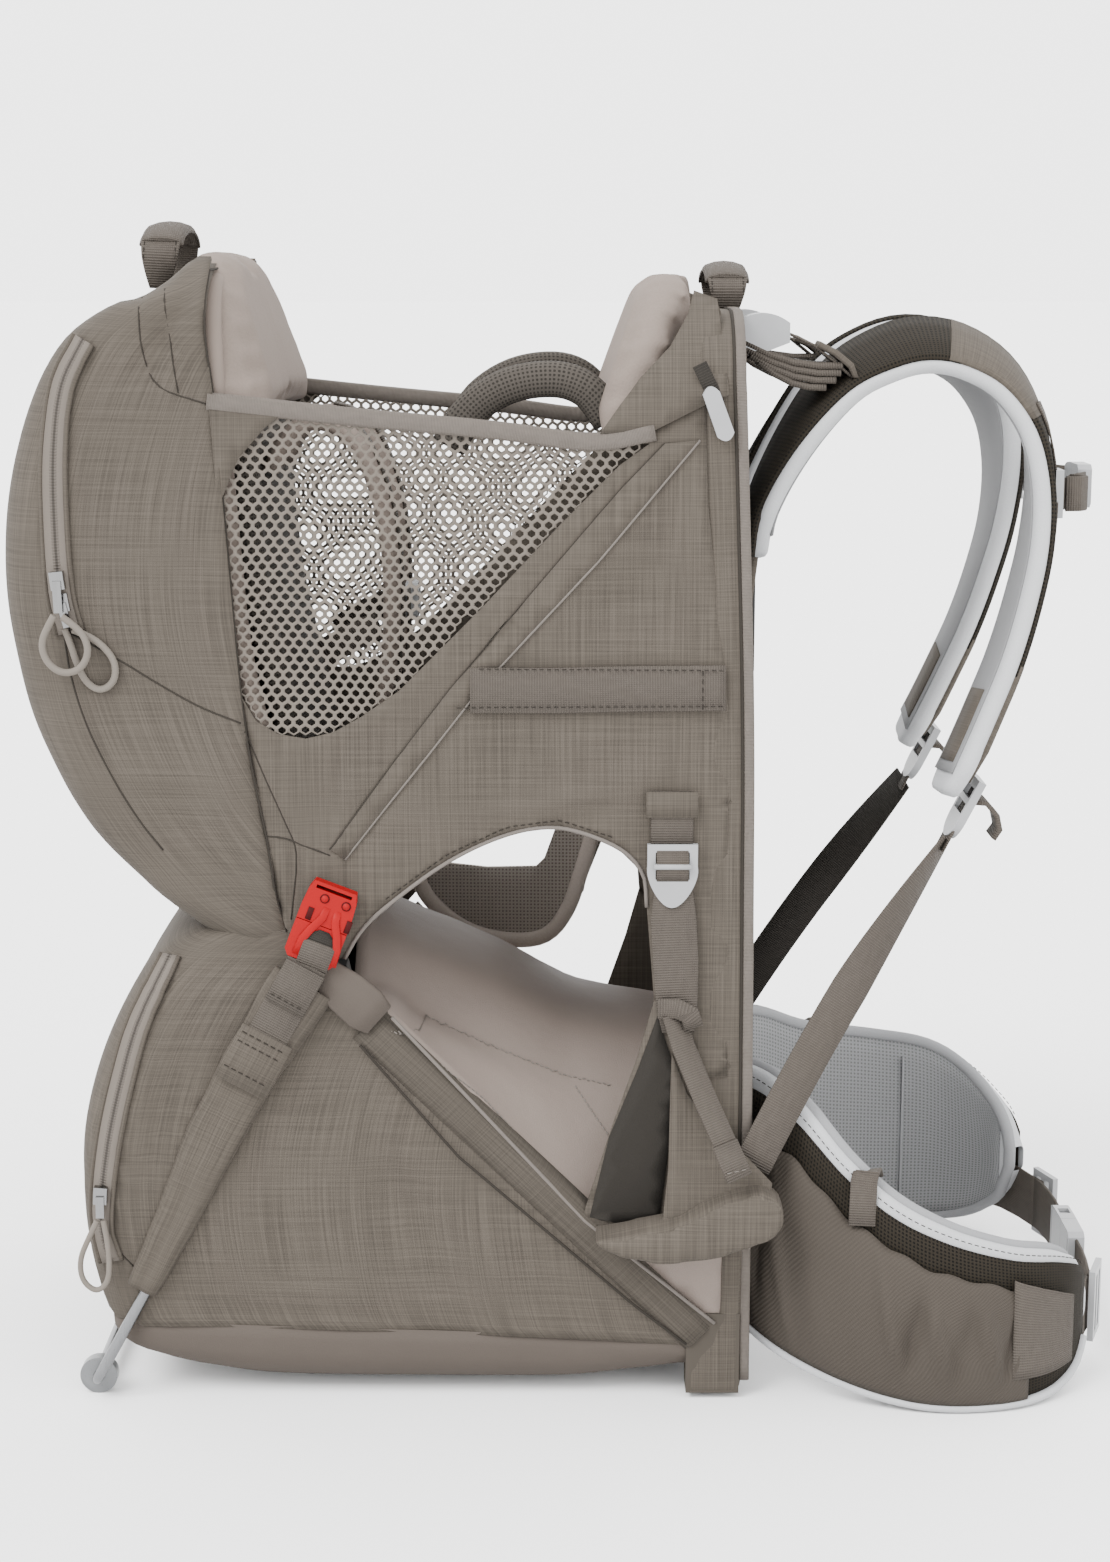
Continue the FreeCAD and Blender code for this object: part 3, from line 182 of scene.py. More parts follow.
def brushed_cloth(name, colour, grain=0.0016, roughness=0.9, relief=0.0003, folds=3.0):
    """Soft cloth with a short nap."""
    material, tree = new_material(name)
    place = cloth_place(tree)
    nap = stretched_noise(tree, place, (1 / grain, 1 / grain, 1), 4)
    soft = stretched_noise(tree, place, (25, 20, 1), 3)
    tint = arithmetic(tree, "MULTIPLY_ADD", nap, 0.7, arithmetic(tree, "MULTIPLY", soft, 0.3))
    paint = blended(tree, tint, shade(colour, 0.82), shade(colour, 1.16))
    height = arithmetic(tree, "MULTIPLY_ADD", soft, folds, nap)
    finish_material(tree, paint, roughness, height, relief)
    return material


def webbing_cloth(name, colour, rib=0.0016):
    """Ribbed webbing: ridges across its length, with a fine twill."""
    material, tree = new_material(name)
    place = cloth_place(tree)
    ribs = stripes(tree, place, 1, rib)
    yarns = stripes(tree, place, 0, rib * 0.8)
    wear = stretched_noise(tree, place, (300, 90, 1), 3)
    tint = arithmetic(tree, "MULTIPLY_ADD", ribs, 0.45, arithmetic(tree, "MULTIPLY", wear, 0.55))
    paint = blended(tree, tint, shade(colour, 0.68), shade(colour, 1.25))
    height = arithmetic(tree, "MULTIPLY_ADD", yarns, 0.4, ribs)
    finish_material(tree, paint, 0.75, height, relief=0.00035)
    return material


def holed_mesh(name, thread, hole, pitch):
    """Spacer mesh: rows of small round holes over a darker layer."""
    material, tree = new_material(name)
    place = cloth_place(tree)
    across = stripes(tree, place, 0, pitch)
    along = stripes(tree, place, 1, pitch)
    holes = arithmetic(tree, "MULTIPLY", across, along)
    open_part = add_node(tree, "ShaderNodeMapRange", {}, holes, 0.34, 0.5).outputs[0]
    fuzz = stretched_noise(tree, place, (900, 900, 1), 2)
    threads = blended(tree, fuzz, shade(thread, 0.75), shade(thread, 1.2))
    paint = blended(tree, open_part, threads, shade(hole, 1))
    height = arithmetic(tree, "SUBTRACT", 1.0, open_part)
    finish_material(tree, paint, 0.85, height, relief=0.0006)
    return material


def ripstop_cloth(name, colour):
    """Packcloth with a diagonal twill."""
    material, tree = new_material(name)
    place = cloth_place(tree)
    turned = add_node(tree, "ShaderNodeMapping", {}, place, None, (0, 0, math.radians(38))).outputs[0]
    twill = stripes(tree, turned, 0, 0.0021)
    weft = stripes(tree, turned, 1, 0.0016)
    soft = stretched_noise(tree, place, (16, 10, 1), 4)
    tint = arithmetic(tree, "MULTIPLY_ADD", twill, 0.35, arithmetic(tree, "MULTIPLY_ADD", soft, 0.5, 0.1))
    paint = blended(tree, tint, shade(colour, 0.78), shade(colour, 1.2))
    weave = arithmetic(tree, "MULTIPLY_ADD", weft, 0.3, twill)
    height = arithmetic(tree, "MULTIPLY_ADD", soft, 9.0, weave)
    finish_material(tree, paint, 0.78, height, relief=0.0002)
    return material


def zip_cloth(name, colour):
    """Woven tape with the coil's ridge of teeth down its middle."""
    material, tree = new_material(name)
    place = cloth_place(tree)
    split = add_node(tree, "ShaderNodeSeparateXYZ", {}, place)
    offset = arithmetic(tree, "ABSOLUTE", split.outputs[0])
    coil = add_node(tree, "ShaderNodeMapRange", {}, offset, 0.0026, 0.0019).outputs[0]
    gap = add_node(tree, "ShaderNodeMapRange", {}, offset, 0.0011, 0.0006).outputs[0]
    teeth = arithmetic(tree, "MULTIPLY", stripes(tree, place, 1, 0.0018), coil)
    weave = stripes(tree, place, 1, 0.0009)
    paint = blended(tree, coil, shade(colour, 1.0), shade(colour, 0.8))
    paint = blended(tree, arithmetic(tree, "MULTIPLY", gap, 0.75), paint, shade(colour, 0.2))
    height = arithmetic(tree, "MULTIPLY_ADD", teeth, 1.5, arithmetic(tree, "MULTIPLY", weave, 0.2))
    finish_material(tree, paint, 0.7, height, relief=0.0003)
    return material


def moulded_plastic(name, colour, roughness=0.4, speckle=0.08, **named):
    """Injection-moulded plastic with a faint texture."""
    material, tree = new_material(name)
    place = add_node(tree, "ShaderNodeTexCoord", {}).outputs["Object"]
    grain = add_node(tree, "ShaderNodeTexNoise", {}, place, None, 900.0, 2.0).outputs[0]
    broad = add_node(tree, "ShaderNodeTexNoise", {}, place, None, 60.0, 2.0).outputs[0]
    paint = blended(tree, broad, shade(colour, 1 - speckle), shade(colour, 1 + speckle))
    rough = arithmetic(tree, "MULTIPLY_ADD", grain, 0.15, roughness - 0.07)
    finish_material(tree, paint, rough, grain, relief=0.00006, **{"Specular_IOR_Level": 0.3, **named})
    return material


def brushed_metal(name, colour, roughness=0.3):
    material, tree = new_material(name)
    place = add_node(tree, "ShaderNodeTexCoord", {}).outputs["Object"]
    mapped = add_node(tree, "ShaderNodeMapping", {}, place, None, None, (900, 900, 60)).outputs[0]
    grain = add_node(tree, "ShaderNodeTexNoise", {}, mapped, None, 1.0, 3.0).outputs[0]
    paint = blended(tree, grain, shade(colour, 0.85), shade(colour, 1.1))
    rough = arithmetic(tree, "MULTIPLY_ADD", grain, 0.2, roughness - 0.1)
    finish_material(tree, paint, rough, grain, relief=0.00003, Metallic=1.0, Specular_IOR_Level=0.5)
    return material


TAUPE = (0.205, 0.175, 0.143)
LIGHT_TAUPE = (0.6, 0.49, 0.42)
slub = slub_cloth("slub_fabric", TAUPE)
# A darker copy of the slub cloth: painted shade on the arm covers and the corner brackets.
slub_shaded = slub_cloth("slub_fabric_painted_shade", (0.175, 0.15, 0.123))
light_pad = brushed_cloth("light_pad", LIGHT_TAUPE)
seat_cloth = brushed_cloth("seat_cloth", (0.6, 0.49, 0.425), grain=0.0009, roughness=0.6, relief=0.00018,
                           folds=8.0)
binding = webbing_cloth("binding", (0.45, 0.39, 0.34), rib=0.0009)
piping = brushed_cloth("piping", (0.42, 0.37, 0.33), grain=0.001)
dark_edge = brushed_cloth("dark_edge", (0.085, 0.073, 0.06), grain=0.001)
webbing = webbing_cloth("webbing", (0.225, 0.192, 0.162))
# Darker webbing; it is also painted shade on the far lower webbing and in the safety clips' gaps.
dark_webbing = webbing_cloth("dark_webbing", (0.075, 0.066, 0.055))
net_yarn = brushed_cloth("net_yarn", (0.42, 0.365, 0.31), grain=0.0008)
zip_tape = zip_cloth("zip_tape", (0.4, 0.345, 0.295))
cord_yarn = webbing_cloth("cord_yarn", (0.5, 0.44, 0.375), rib=0.0012)
base_cloth = brushed_cloth("base_cloth", (0.235, 0.195, 0.165), grain=0.0008, roughness=0.8, relief=0.0002,
                           folds=6.0)
# Near-black cloth: painted shade inside the stirrups.
painted_inner_shade = brushed_cloth("painted_inner_shade", (0.07, 0.062, 0.053), grain=0.001)
foam_lining = brushed_cloth("foam_lining", (1.4, 1.42, 1.45), grain=0.0011, roughness=0.85, relief=0.0002,
                            folds=2.0)
grey_binding = brushed_cloth("grey_binding", (0.78, 0.79, 0.81), grain=0.001)
grey_mesh = holed_mesh("grey_mesh", (0.72, 0.73, 0.74), (0.42, 0.425, 0.43), pitch=0.0028)
dark_mesh = holed_mesh("dark_mesh", (0.055, 0.044, 0.03), (0.008, 0.007, 0.005), pitch=0.0026)
child_mesh = holed_mesh("child_mesh", (0.2, 0.175, 0.15), (0.08, 0.07, 0.06), pitch=0.0026)
# The leg cuff's lining and edge are painted lighter than their cloth: painted light in the shaded leg
# opening.
leg_lining = holed_mesh("leg_lining", (1.0, 0.88, 0.77), (0.5, 0.43, 0.37), pitch=0.0026)
cuff_cloth = brushed_cloth("cuff_cloth", (1.35, 1.17, 1.03))
strap_lining = brushed_cloth("strap_lining", (0.62, 0.625, 0.635), grain=0.0009)
pocket_cloth = ripstop_cloth("pocket_cloth", (0.155, 0.13, 0.107))
thread = brushed_cloth("thread", (0.5, 0.45, 0.4), grain=0.001)
dark_thread = brushed_cloth("dark_thread", (0.07, 0.06, 0.05), grain=0.001)
red_plastic = moulded_plastic("red_plastic", (0.85, 0.004, 0.008), roughness=0.5, Specular_IOR_Level=0.12)
# A darker copy of the red plastic: painted shadow round the studs and painted shade in the buckles' side
# windows.
shaded_red = moulded_plastic("shaded_red", (0.12, 0.004, 0.004), roughness=0.6, Specular_IOR_Level=0.1)
grey_plastic = moulded_plastic("grey_plastic", (0.95, 0.96, 0.98), roughness=0.38)
dark_plastic = moulded_plastic("dark_plastic", (0.03, 0.03, 0.03), roughness=0.45)
clear_plastic = moulded_plastic("clear_plastic", (0.72, 0.74, 0.76), roughness=0.3, speckle=0.03,
                                Transmission_Weight=0.45)
aluminium = brushed_metal("aluminium", (0.72, 0.73, 0.75))
zip_metal = brushed_metal("zip_metal", (0.78, 0.78, 0.78), 0.22)
tube_paint = moulded_plastic("tube_coating", (0.08, 0.075, 0.07), roughness=0.45)

# ---------------------------------------------------------------- cords

# Each pull cord's body, place across the carrier, thickness, length in metres and route.
CORDS = {
    "upper_pull_cord_a": ("zip_slider_a", -152, 4.4, 0.092, [
        (-303.4, 507.6), (-308, 500), (-312, 490), (-309, 479), (-300, 472), (-289, 474), (-283, 484),
        (-285, 495), (-293, 503), (-298.7, 506.9)]),
    "upper_pull_cord_b": ("zip_slider_b", -145.4, 4.4, 0.099, [
        (-298.4, 498.6), (-295, 489), (-292, 478), (-287, 466), (-278, 460), (-269, 466), (-268, 478),
        (-275, 488), (-285, 495), (-293.7, 498.0)]),
    "lower_pull_cord": ("zip_slider_low", -153.8, 3.6, 0.104, [
        (-290.0, 122.2), (-296, 110), (-302, 96), (-301, 82), (-292, 74), (-284, 81), (-283, 95),
        (-284, 109), (-286.1, 122.2)]),
}


def pull_cord(name, body, y, diameter, length, route):
    """A loop of braided cord that hangs from a slider's tab."""
    curve = bpy.data.curves.new(name + "_loop", "CURVE")
    curve.dimensions = "3D"
    spline = curve.splines.new("NURBS")
    spline.points.add(len(route) - 1)
    for point, (x, z) in zip(spline.points, route):
        point.co = (*at(x, y, z), 1)
    spline.order_u = 3
    spline.use_endpoint_u = True
    spline.resolution_u = 10
    curve.bevel_depth = diameter / 2000
    curve.bevel_resolution = 4
    curve.use_fill_caps = True
    curve.materials.append(cord_yarn)
    piece = bpy.data.objects.new(name + "_loop", curve)
    scene.collection.objects.link(piece)
    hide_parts(name)
    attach(piece, body)
    at(route[0][0], y, route[0][1])


for cord_name, cord in CORDS.items():
    pull_cord(cord_name, *cord)

# ---------------------------------------------------------------- lines and shapes


def smooth(points, steps=8):
    """Points along a smooth curve through these ones."""
    points = [Vector(point) for point in points]
    line = []
    first, last = 2 * points[0] - points[1], 2 * points[-1] - points[-2]
    padded = [first, *points, last]
    for a, b, c, d in zip(padded, padded[1:], padded[2:], padded[3:]):
        for step in range(steps):
            t = step / steps
            line.append(0.5 * (2 * b + (c - a) * t + (2 * a - 5 * b + 4 * c - d) * t * t
                               + (3 * b - a - 3 * c + d) * t ** 3))
    line.append(points[-1])
    return line


def spaced(line, count):
    """The same line as a number of points, evenly apart."""
    line = [Vector(point) for point in line]
    reach = [0.0]
    for a, b in zip(line, line[1:]):
        reach.append(reach[-1] + (b - a).length)
    points = []
    index = 0
    for step in range(count):
        target = reach[-1] * step / (count - 1)
        while index < len(line) - 2 and reach[index + 1] < target:
            index += 1
        span = reach[index + 1] - reach[index]
        share = (target - reach[index]) / span if span else 0
        points.append(line[index].lerp(line[index + 1], min(share, 1)))
    return points


def on_side(side, spots):
    """Points on a side of the carrier from (x, distance from the middle, z)."""
    return [at(x, side * y, z) for x, y, z in spots]


def level(side, y, spots):
    """Points at one distance from the middle of the carrier from (x, z)."""
    return [at(x, side * y, z) for x, z in spots]


def neighbours(line):
    """Each point of a line with the points before and after it, where there are such."""
    return zip(line[:1] + line[:-1], line, line[1:] + line[-1:])


def replaces_both(piece, side, node):
    """The right side's piece stands for a CAD node that holds both sides."""
    if side == RIGHT:
        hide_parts(node)


def length_of(line):
    return sum((b - a).length for a, b in zip(line, line[1:]))


def apart(line, gap):
    """The same line as points about one gap apart."""
    line = [Vector(point) for point in line]
    return spaced(line, max(3, round(length_of(line) / gap) + 1))


def x_at(outline, z):
    """X of a line of (x, z) points at a height."""
    ordered = sorted(outline, key=lambda point: point[1])
    if z <= ordered[0][1]:
        return ordered[0][0]
    for (x0, z0), (x1, z1) in zip(ordered, ordered[1:]):
        if z <= z1:
            return x0 + (x1 - x0) * (z - z0) / max(z1 - z0, 1e-9)
    return ordered[-1][0]


def z_at(outline, x):
    """Z of a line of (x, z) points at an X."""
    return x_at([(z, u) for u, z in outline], x)


def inside(point, polygon):
    """Whether a flat point lies in a polygon."""
    found = False
    x, y = point[0], point[1]
    for (x0, y0), (x1, y1) in zip(polygon, polygon[1:] + polygon[:1]):
        if (y0 > y) != (y1 > y) and x < (x1 - x0) * (y - y0) / (y1 - y0) + x0:
            found = not found
    return found


def make(name, points, faces, uvs, material, body="root"):
    """A piece from points in metres. uvs has one place on the cloth for each face corner."""
    mesh = bpy.data.meshes.new(name)
    mesh.from_pydata([tuple(point) for point in points], [], faces)
    layer = mesh.uv_layers.new(name="cloth")
    flat = [value for face in uvs for place in face for value in place]
    layer.data.foreach_set("uv", flat)
    mesh.materials.append(material)
    for polygon in mesh.polygons:
        polygon.use_smooth = True
    piece = bpy.data.objects.new(name, mesh)
    scene.collection.objects.link(piece)
    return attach(piece, body) if body else piece


def solid(piece, thickness, offset=-1.0):
    """Gives a sheet its thickness, in millimetres."""
    modifier = piece.modifiers.new("thickness", "SOLIDIFY")
    modifier.thickness = thickness / 1000
    modifier.offset = offset
    return piece


def grid(name, rows, material, flip=False):
    """A surface through rows of points that all have the same number of points."""
    count = len(rows[0])
    middle = count // 2
    points = [point for row in rows for point in row]
    places = []
    climb = 0.0
    for index, row in enumerate(rows):
        if index:
            climb += (row[middle] - rows[index - 1][middle]).length
        run = [0.0]
        for a, b in zip(row, row[1:]):
            run.append(run[-1] + (b - a).length)
        places.append([(value - run[middle], climb) for value in run])
    faces = []
    uvs = []
    for row in range(len(rows) - 1):
        for column in range(count - 1):
            corners = [(row, column), (row, column + 1), (row + 1, column + 1), (row + 1, column)]
            if flip:
                corners.reverse()
            faces.append([r * count + c for r, c in corners])
            uvs.append([places[r][c] for r, c in corners])
    return make(name, points, faces, uvs, material)


def even_loop(loop, gap):
    """The corners of a closed flat outline, with points between them about one gap apart."""
    ring = []
    for a, b in zip(loop, loop[1:] + loop[:1]):
        steps = max(1, round(math.dist(a, b) / gap))
        for step in range(steps):
            ring.append((a[0] + (b[0] - a[0]) * step / steps, a[1] + (b[1] - a[1]) * step / steps))
    return ring


def extent(outline):
    """The lowest and highest first and second value of a flat outline."""
    firsts, seconds = [u for u, _ in outline], [v for _, v in outline]
    return min(firsts), max(firsts), min(seconds), max(seconds)


def cut_cloth(name, outline, place, material, holes=(), gap=7, flip=False):
    """A sheet cut to a flat outline. place turns a flat point of it into a point in metres."""

    def on_cloth(spot):
        return inside(spot, outline) and not any(inside(spot, hole) for hole in holes)

    flat, edges = [], []
    for loop in (outline, *holes):
        ring = even_loop(loop, gap)
        edges += [(len(flat) + i, len(flat) + (i + 1) % len(ring)) for i in range(len(ring))]
        flat += ring
    border = list(flat)
    low_u, high_u, low_v, high_v = extent(outline)
    for i in range(int((high_u - low_u) / gap) + 1):
        for j in range(int((high_v - low_v) / gap) + 1):
            spot = (low_u + (i + 0.5 * (j % 2)) * gap, low_v + j * gap)
            if not on_cloth(spot):
                continue
            if min((spot[0] - u) ** 2 + (spot[1] - v) ** 2 for u, v in border) > (0.55 * gap) ** 2:
                flat.append(spot)
    found, _, faces, _, _, _ = delaunay_2d_cdt([Vector(spot) for spot in flat], edges, [], 0, 1e-6)
    kept = []
    for face in faces:
        centre = sum((found[i] for i in face), Vector((0, 0))) / len(face)
        if on_cloth(centre):
            kept.append(list(face)[::-1] if flip else list(face))
    points = [place(u, v) for u, v in found]
    uvs = [[(found[i][0] / 1000, found[i][1] / 1000) for i in face] for face in kept]
    return make(name, points, kept, uvs, material)


def flat_bar(width, thickness):
    """The section of a flat band, millimetres, with eased edges."""
    w, t = width / 2, thickness / 2
    ease = t * 0.6
    return [(-w, -t + ease), (-w + ease, -t), (w - ease, -t), (w, -t + ease),
            (w, t - ease), (w - ease, t), (-w + ease, t), (-w, t - ease)]


def round_bar(radius, sides=10):
    """The section of a round cord, millimetres."""
    turns = [2 * math.pi * i / sides for i in range(sides)]
    return [(radius * math.cos(turn), radius * math.sin(turn)) for turn in turns]


def sweep(name, line, ups, section, material, body="root", widths=None):
    """A section in millimetres swept along a line in metres. Each up is the section's upward way."""
    count = len(line)
    sides = len(section)
    ups = ups if isinstance(ups, list) else [ups] * count
    rim = [0.0]
    for (a, b), (c, d) in zip(section, section[1:] + section[:1]):
        rim.append(rim[-1] + math.hypot(c - a, d - b) / 1000)
    points = []
    climb = [0.0]
    for index, point in enumerate(line):
        along = (line[min(index + 1, count - 1)] - line[max(index - 1, 0)]).normalized()
        across = along.cross(ups[index])
        across = across.normalized() if across.length > 1e-6 else Vector((0, 1, 0))
        up = across.cross(along).normalized()
        width = widths[index] if widths else 1
        points += [point + across * (a * width / 1000) + up * (b / 1000) for a, b in section]
        if index:
            climb.append(climb[-1] + (point - line[index - 1]).length)
    half_rim = rim[-1] / 2
    faces, uvs = [], []
    for i in range(count - 1):
        for j in range(sides):
            k = (j + 1) % sides
            low, high = i * sides, (i + 1) * sides
            faces.append([low + j, high + j, high + k, low + k])
            top, bottom = climb[i], climb[i + 1]
            left = rim[j] % half_rim - half_rim / 2
            right = left + rim[j + 1] - rim[j]
            uvs.append([(left, top), (left, bottom), (right, bottom), (right, top)])
    for start, turn in ((0, 1), ((count - 1) * sides, -1)):
        faces.append([start + j for j in range(sides)][::turn])
        uvs.append([(a / 1000, b / 1000) for a, b in section][::turn])
    return make(name, points, faces, uvs, material, body)


def tree_of(*pieces):
    """Something to drop lines onto: the shape of these pieces as they show."""
    graph = bpy.context.evaluated_depsgraph_get()
    points, faces = [], []
    for piece in pieces:
        shape = piece.evaluated_get(graph).to_mesh()
        start = len(points)
        points += [piece.matrix_world @ vertex.co for vertex in shape.vertices]
        faces += [[start + i for i in polygon.vertices] for polygon in shape.polygons]
    return BVHTree.FromPolygons(points, faces)


CLEAR_OF_SIDE = 400  # where a look at a side starts from
NEAR_MIDDLE = 60  # what lies nearer the middle than this isn't that side
SIDE_Y = 150  # the side's own distance from the middle, where nothing is hit


def drape(flat, tree, side, lift=0.0, gap=6):
    """A line of (x, z) points laid on a side of the carrier: its points and the ways out."""
    line, ups = [], []
    for spot in apart(flat, gap):
        start = at(spot[0], side * CLEAR_OF_SIDE, spot[1])
        hit, normal, _, _ = tree.ray_cast(start, -OUT[side])
        if hit is None or abs(hit.y) < NEAR_MIDDLE / 1000:
            hit, normal = at(spot[0], side * SIDE_Y, spot[1]), OUT[side]
        if normal.y * side < 0:
            normal = -normal
        line.append(hit)
        ups.append(normal)
    eased = []
    for index in range(len(ups)):
        near = ups[max(0, index - 2):index + 3]
        eased.append(sum(near, Vector()).normalized())
    return [point + up * lift / 1000 for point, up in zip(line, eased)], eased


def side_cord(name, flat, tree, side, radius, material, lift):
    """A round cord, or a seam's dark line, laid on a side of the carrier."""
    line, ups = drape(flat, tree, side, lift)
    return sweep(name, line, ups, round_bar(radius, 8), material)


def strip(name, side, spots, width, thickness, material, body="root", widths=None):
    """A flat band that faces out of a side, through (x, distance from the middle, z)."""
    return sweep(f"{name}_{SIDE_NAMES[side]}", on_side(side, spots), OUT[side], flat_bar(width, thickness),
                 material, body, widths)


def flat_side(side, y):
    """Where a flat layer lies on a side of the carrier, at one distance from the middle."""
    return lambda x, z: at(x, side * y, z)


def side_cut(name, side, outline, place, material, thickness, gap=8):
    """A piece of cloth on a side of the carrier, cut to an outline."""
    piece = cut_cloth(f"{name}_{SIDE_NAMES[side]}", outline, place, material, gap=gap, flip=side == LEFT)
    return solid(piece, thickness)


THREAD_SIDES = 5
SAMPLES_PER_STITCH = 5
DASH_SAMPLES = 3  # how many of them the thread covers before it dives under the cloth


def stitches(name, lines, material, body="root", dash=2.6, gap=1.9, radius=0.32):
    """Runs of thread along lines of points and ways out."""
    points, faces, uvs = [], [], []
    section = round_bar(radius, THREAD_SIDES)
    for line, ups in lines:
        total = length_of(line) * 1000
        count = max(1, int(total / (dash + gap)))
        samples = spaced(line, count * SAMPLES_PER_STITCH + 1)
        for index in range(count):
            first = index * SAMPLES_PER_STITCH
            a, b = samples[first], samples[first + DASH_SAMPLES]
            up = ups
            if isinstance(ups, list):
                up = ups[round(index / count * (len(ups) - 1))]
            along = (b - a).normalized()
            across = along.cross(up).normalized()
            start = len(points)
            for end in (a, b):
                points += [end + across * (s / 1000) + up * ((t + radius * 0.6) / 1000) for s, t in section]
            end_start = start + THREAD_SIDES
            for j in range(THREAD_SIDES):
                k = (j + 1) % THREAD_SIDES
                faces.append([start + j, start + k, end_start + k, end_start + j])
                uvs.append([(0, 0), (0.0005, 0), (0.0005, 0.002), (0, 0.002)])
    return make(name, points, faces, uvs, material, body)


def box_cloth(piece):
    """Places on the cloth from the nearest flat view of each face."""
    mesh = piece.data
    layer = mesh.uv_layers.get("cloth") or mesh.uv_layers.new(name="cloth")
    for polygon in mesh.polygons:
        normal = polygon.normal
        widest = max(range(3), key=lambda axis: abs(normal[axis]))
        u, v = {0: (1, 2), 1: (0, 2), 2: (0, 1)}[widest]
        for loop in polygon.loop_indices:
            point = mesh.vertices[mesh.loops[loop].vertex_index].co
            layer.data[loop].uv = (point[u], point[v])


FINE_VOXEL = 5.5
CLOTH_FRAMES = 20


def inflate(piece, voxel, pressure, cap, ease):
    """Turns a closed block into a stuffed pad: remeshed, eased and blown up as cloth.

    voxel and cap, the furthest that the cloth may move, are in millimetres."""
    bpy.context.view_layer.update()
    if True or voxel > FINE_VOXEL:
        remesh = piece.modifiers.new("even", "REMESH")
        remesh.mode = "VOXEL"
        remesh.voxel_size = voxel / 1000
    soften = piece.modifiers.new("ease", "SMOOTH")
    soften.iterations = ease
    graph = bpy.context.evaluated_depsgraph_get()
    mesh = bpy.data.meshes.new_from_object(piece.evaluated_get(graph))
    piece.modifiers.clear()
    materials = list(piece.data.materials)
    piece.data = mesh
    mesh.materials.clear()
    for material in materials:
        mesh.materials.append(material)
    rest = [vertex.co.copy() for vertex in mesh.vertices]
    cloth = piece.modifiers.new("stuffing", "CLOTH")
    cloth.settings.use_pressure = True
    cloth.settings.uniform_pressure_force = pressure
    cloth.settings.quality = 4
    cloth.settings.effector_weights.gravity = 0
    cloth.collision_settings.use_collision = False
    cloth.point_cache.frame_start = 1
    cloth.point_cache.frame_end = CLOTH_FRAMES
    for frame_number in range(1, CLOTH_FRAMES + 1):
        scene.frame_set(frame_number)
    graph = bpy.context.evaluated_depsgraph_get()
    blown = piece.evaluated_get(graph).to_mesh()
    moved = [vertex.co.copy() for vertex in blown.vertices]
    piece.modifiers.clear()
    scene.frame_set(1)
    for vertex, before, after in zip(mesh.vertices, rest, moved):
        step = after - before
        if step.length > cap / 1000:
            step *= cap / 1000 / step.length
        vertex.co = before + step
    for polygon in mesh.polygons:
        polygon.use_smooth = True
    box_cloth(piece)
    refine = piece.modifiers.new("refine", "SUBSURF")
    refine.levels = 1
    refine.render_levels = 1
    return piece


def paint(node, material):
    """A better material for a CAD node that stays."""
    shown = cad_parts[node]
    for entry in shown.material_slots:
        entry.material = material
    if not shown.material_slots:
        shown.data.materials.append(material)

# ---------------------------------------------------------------- hard parts

for node_name in ("back_frame_hoop", "base_crossbar", "kickstand_pins"):
    paint(node_name, tube_paint)
# The corner brackets take the darker slub cloth as painted shade.
paint("corner_brackets", slub_shaded)
for node_name in ("kickstand_hinges", "harness_yoke", "back_panel_board"):
    paint(node_name, dark_plastic)
for node_name in ("upper_slider_a", "upper_slider_b", "lower_slider"):
    paint(node_name, zip_metal)
for node_name in ("stirrup_buckles", "sunshade_toggles", "strap_adjusters", "load_lifter_buckles",
                  "sternum_sliders", "sternum_buckle_socket", "sternum_buckle_clip", "hip_triglides",
                  "hip_buckle_socket", "hip_buckle_clip", "chest_buckle_socket", "chest_buckle_clip"):
    paint(node_name, grey_plastic)
for node_name in ("safety_buckle_sockets", "safety_clip_right", "safety_clip_left"):
    paint(node_name, red_plastic)
paint("rear_hoop_tube", light_pad)
paint("kickstand_bar", aluminium)
paint("kickstand_feet", clear_plastic)

# ---------------------------------------------------------------- rear pocket and lower bag

# Outlines and lines of the side view are lists of (x, z).
HOOP_SEAM = [(-158, 292), (-167, 309), (-173, 332), (-178, 368), (-185, 406), (-190, 441), (-193, 473),
             (-196, 517), (-200, 577), (-204, 637), (-208, 678), (-207, 719)]
POCKET_BACK = [(-216, 719), (-232, 710), (-254, 697), (-279, 685), (-302, 667), (-322, 633), (-336, 589),
               (-342, 544), (-340, 493), (-326, 434), (-299, 378), (-262, 336), (-230, 312), (-198, 296)]
BAG_FRONT = [(108, 38), (64, 76), (8, 124), (-50, 176), (-110, 246), (-146, 290), (-150, 304)]
BAG_BACK = [(-170, 309), (-198, 308.5), (-218, 306.5), (-232, 301), (-248, 290), (-267, 265),
            (-284, 232), (-296, 196), (-303, 158), (-303, 119), (-297, 77), (-290, 54), (-285, 49)]
BASE_EDGE = [(-288, 50), (-261, 52), (-176, 49), (-112, 47), (-48, 45), (29, 42), (80, 38), (96, 34)]


LEVEL_POINTS = 67
QUARTER_STEPS = 24  # points from the rear's middle to where a level line turns forwards
FLARE_REACH = 70  # how far behind its front edge a level line starts to spread


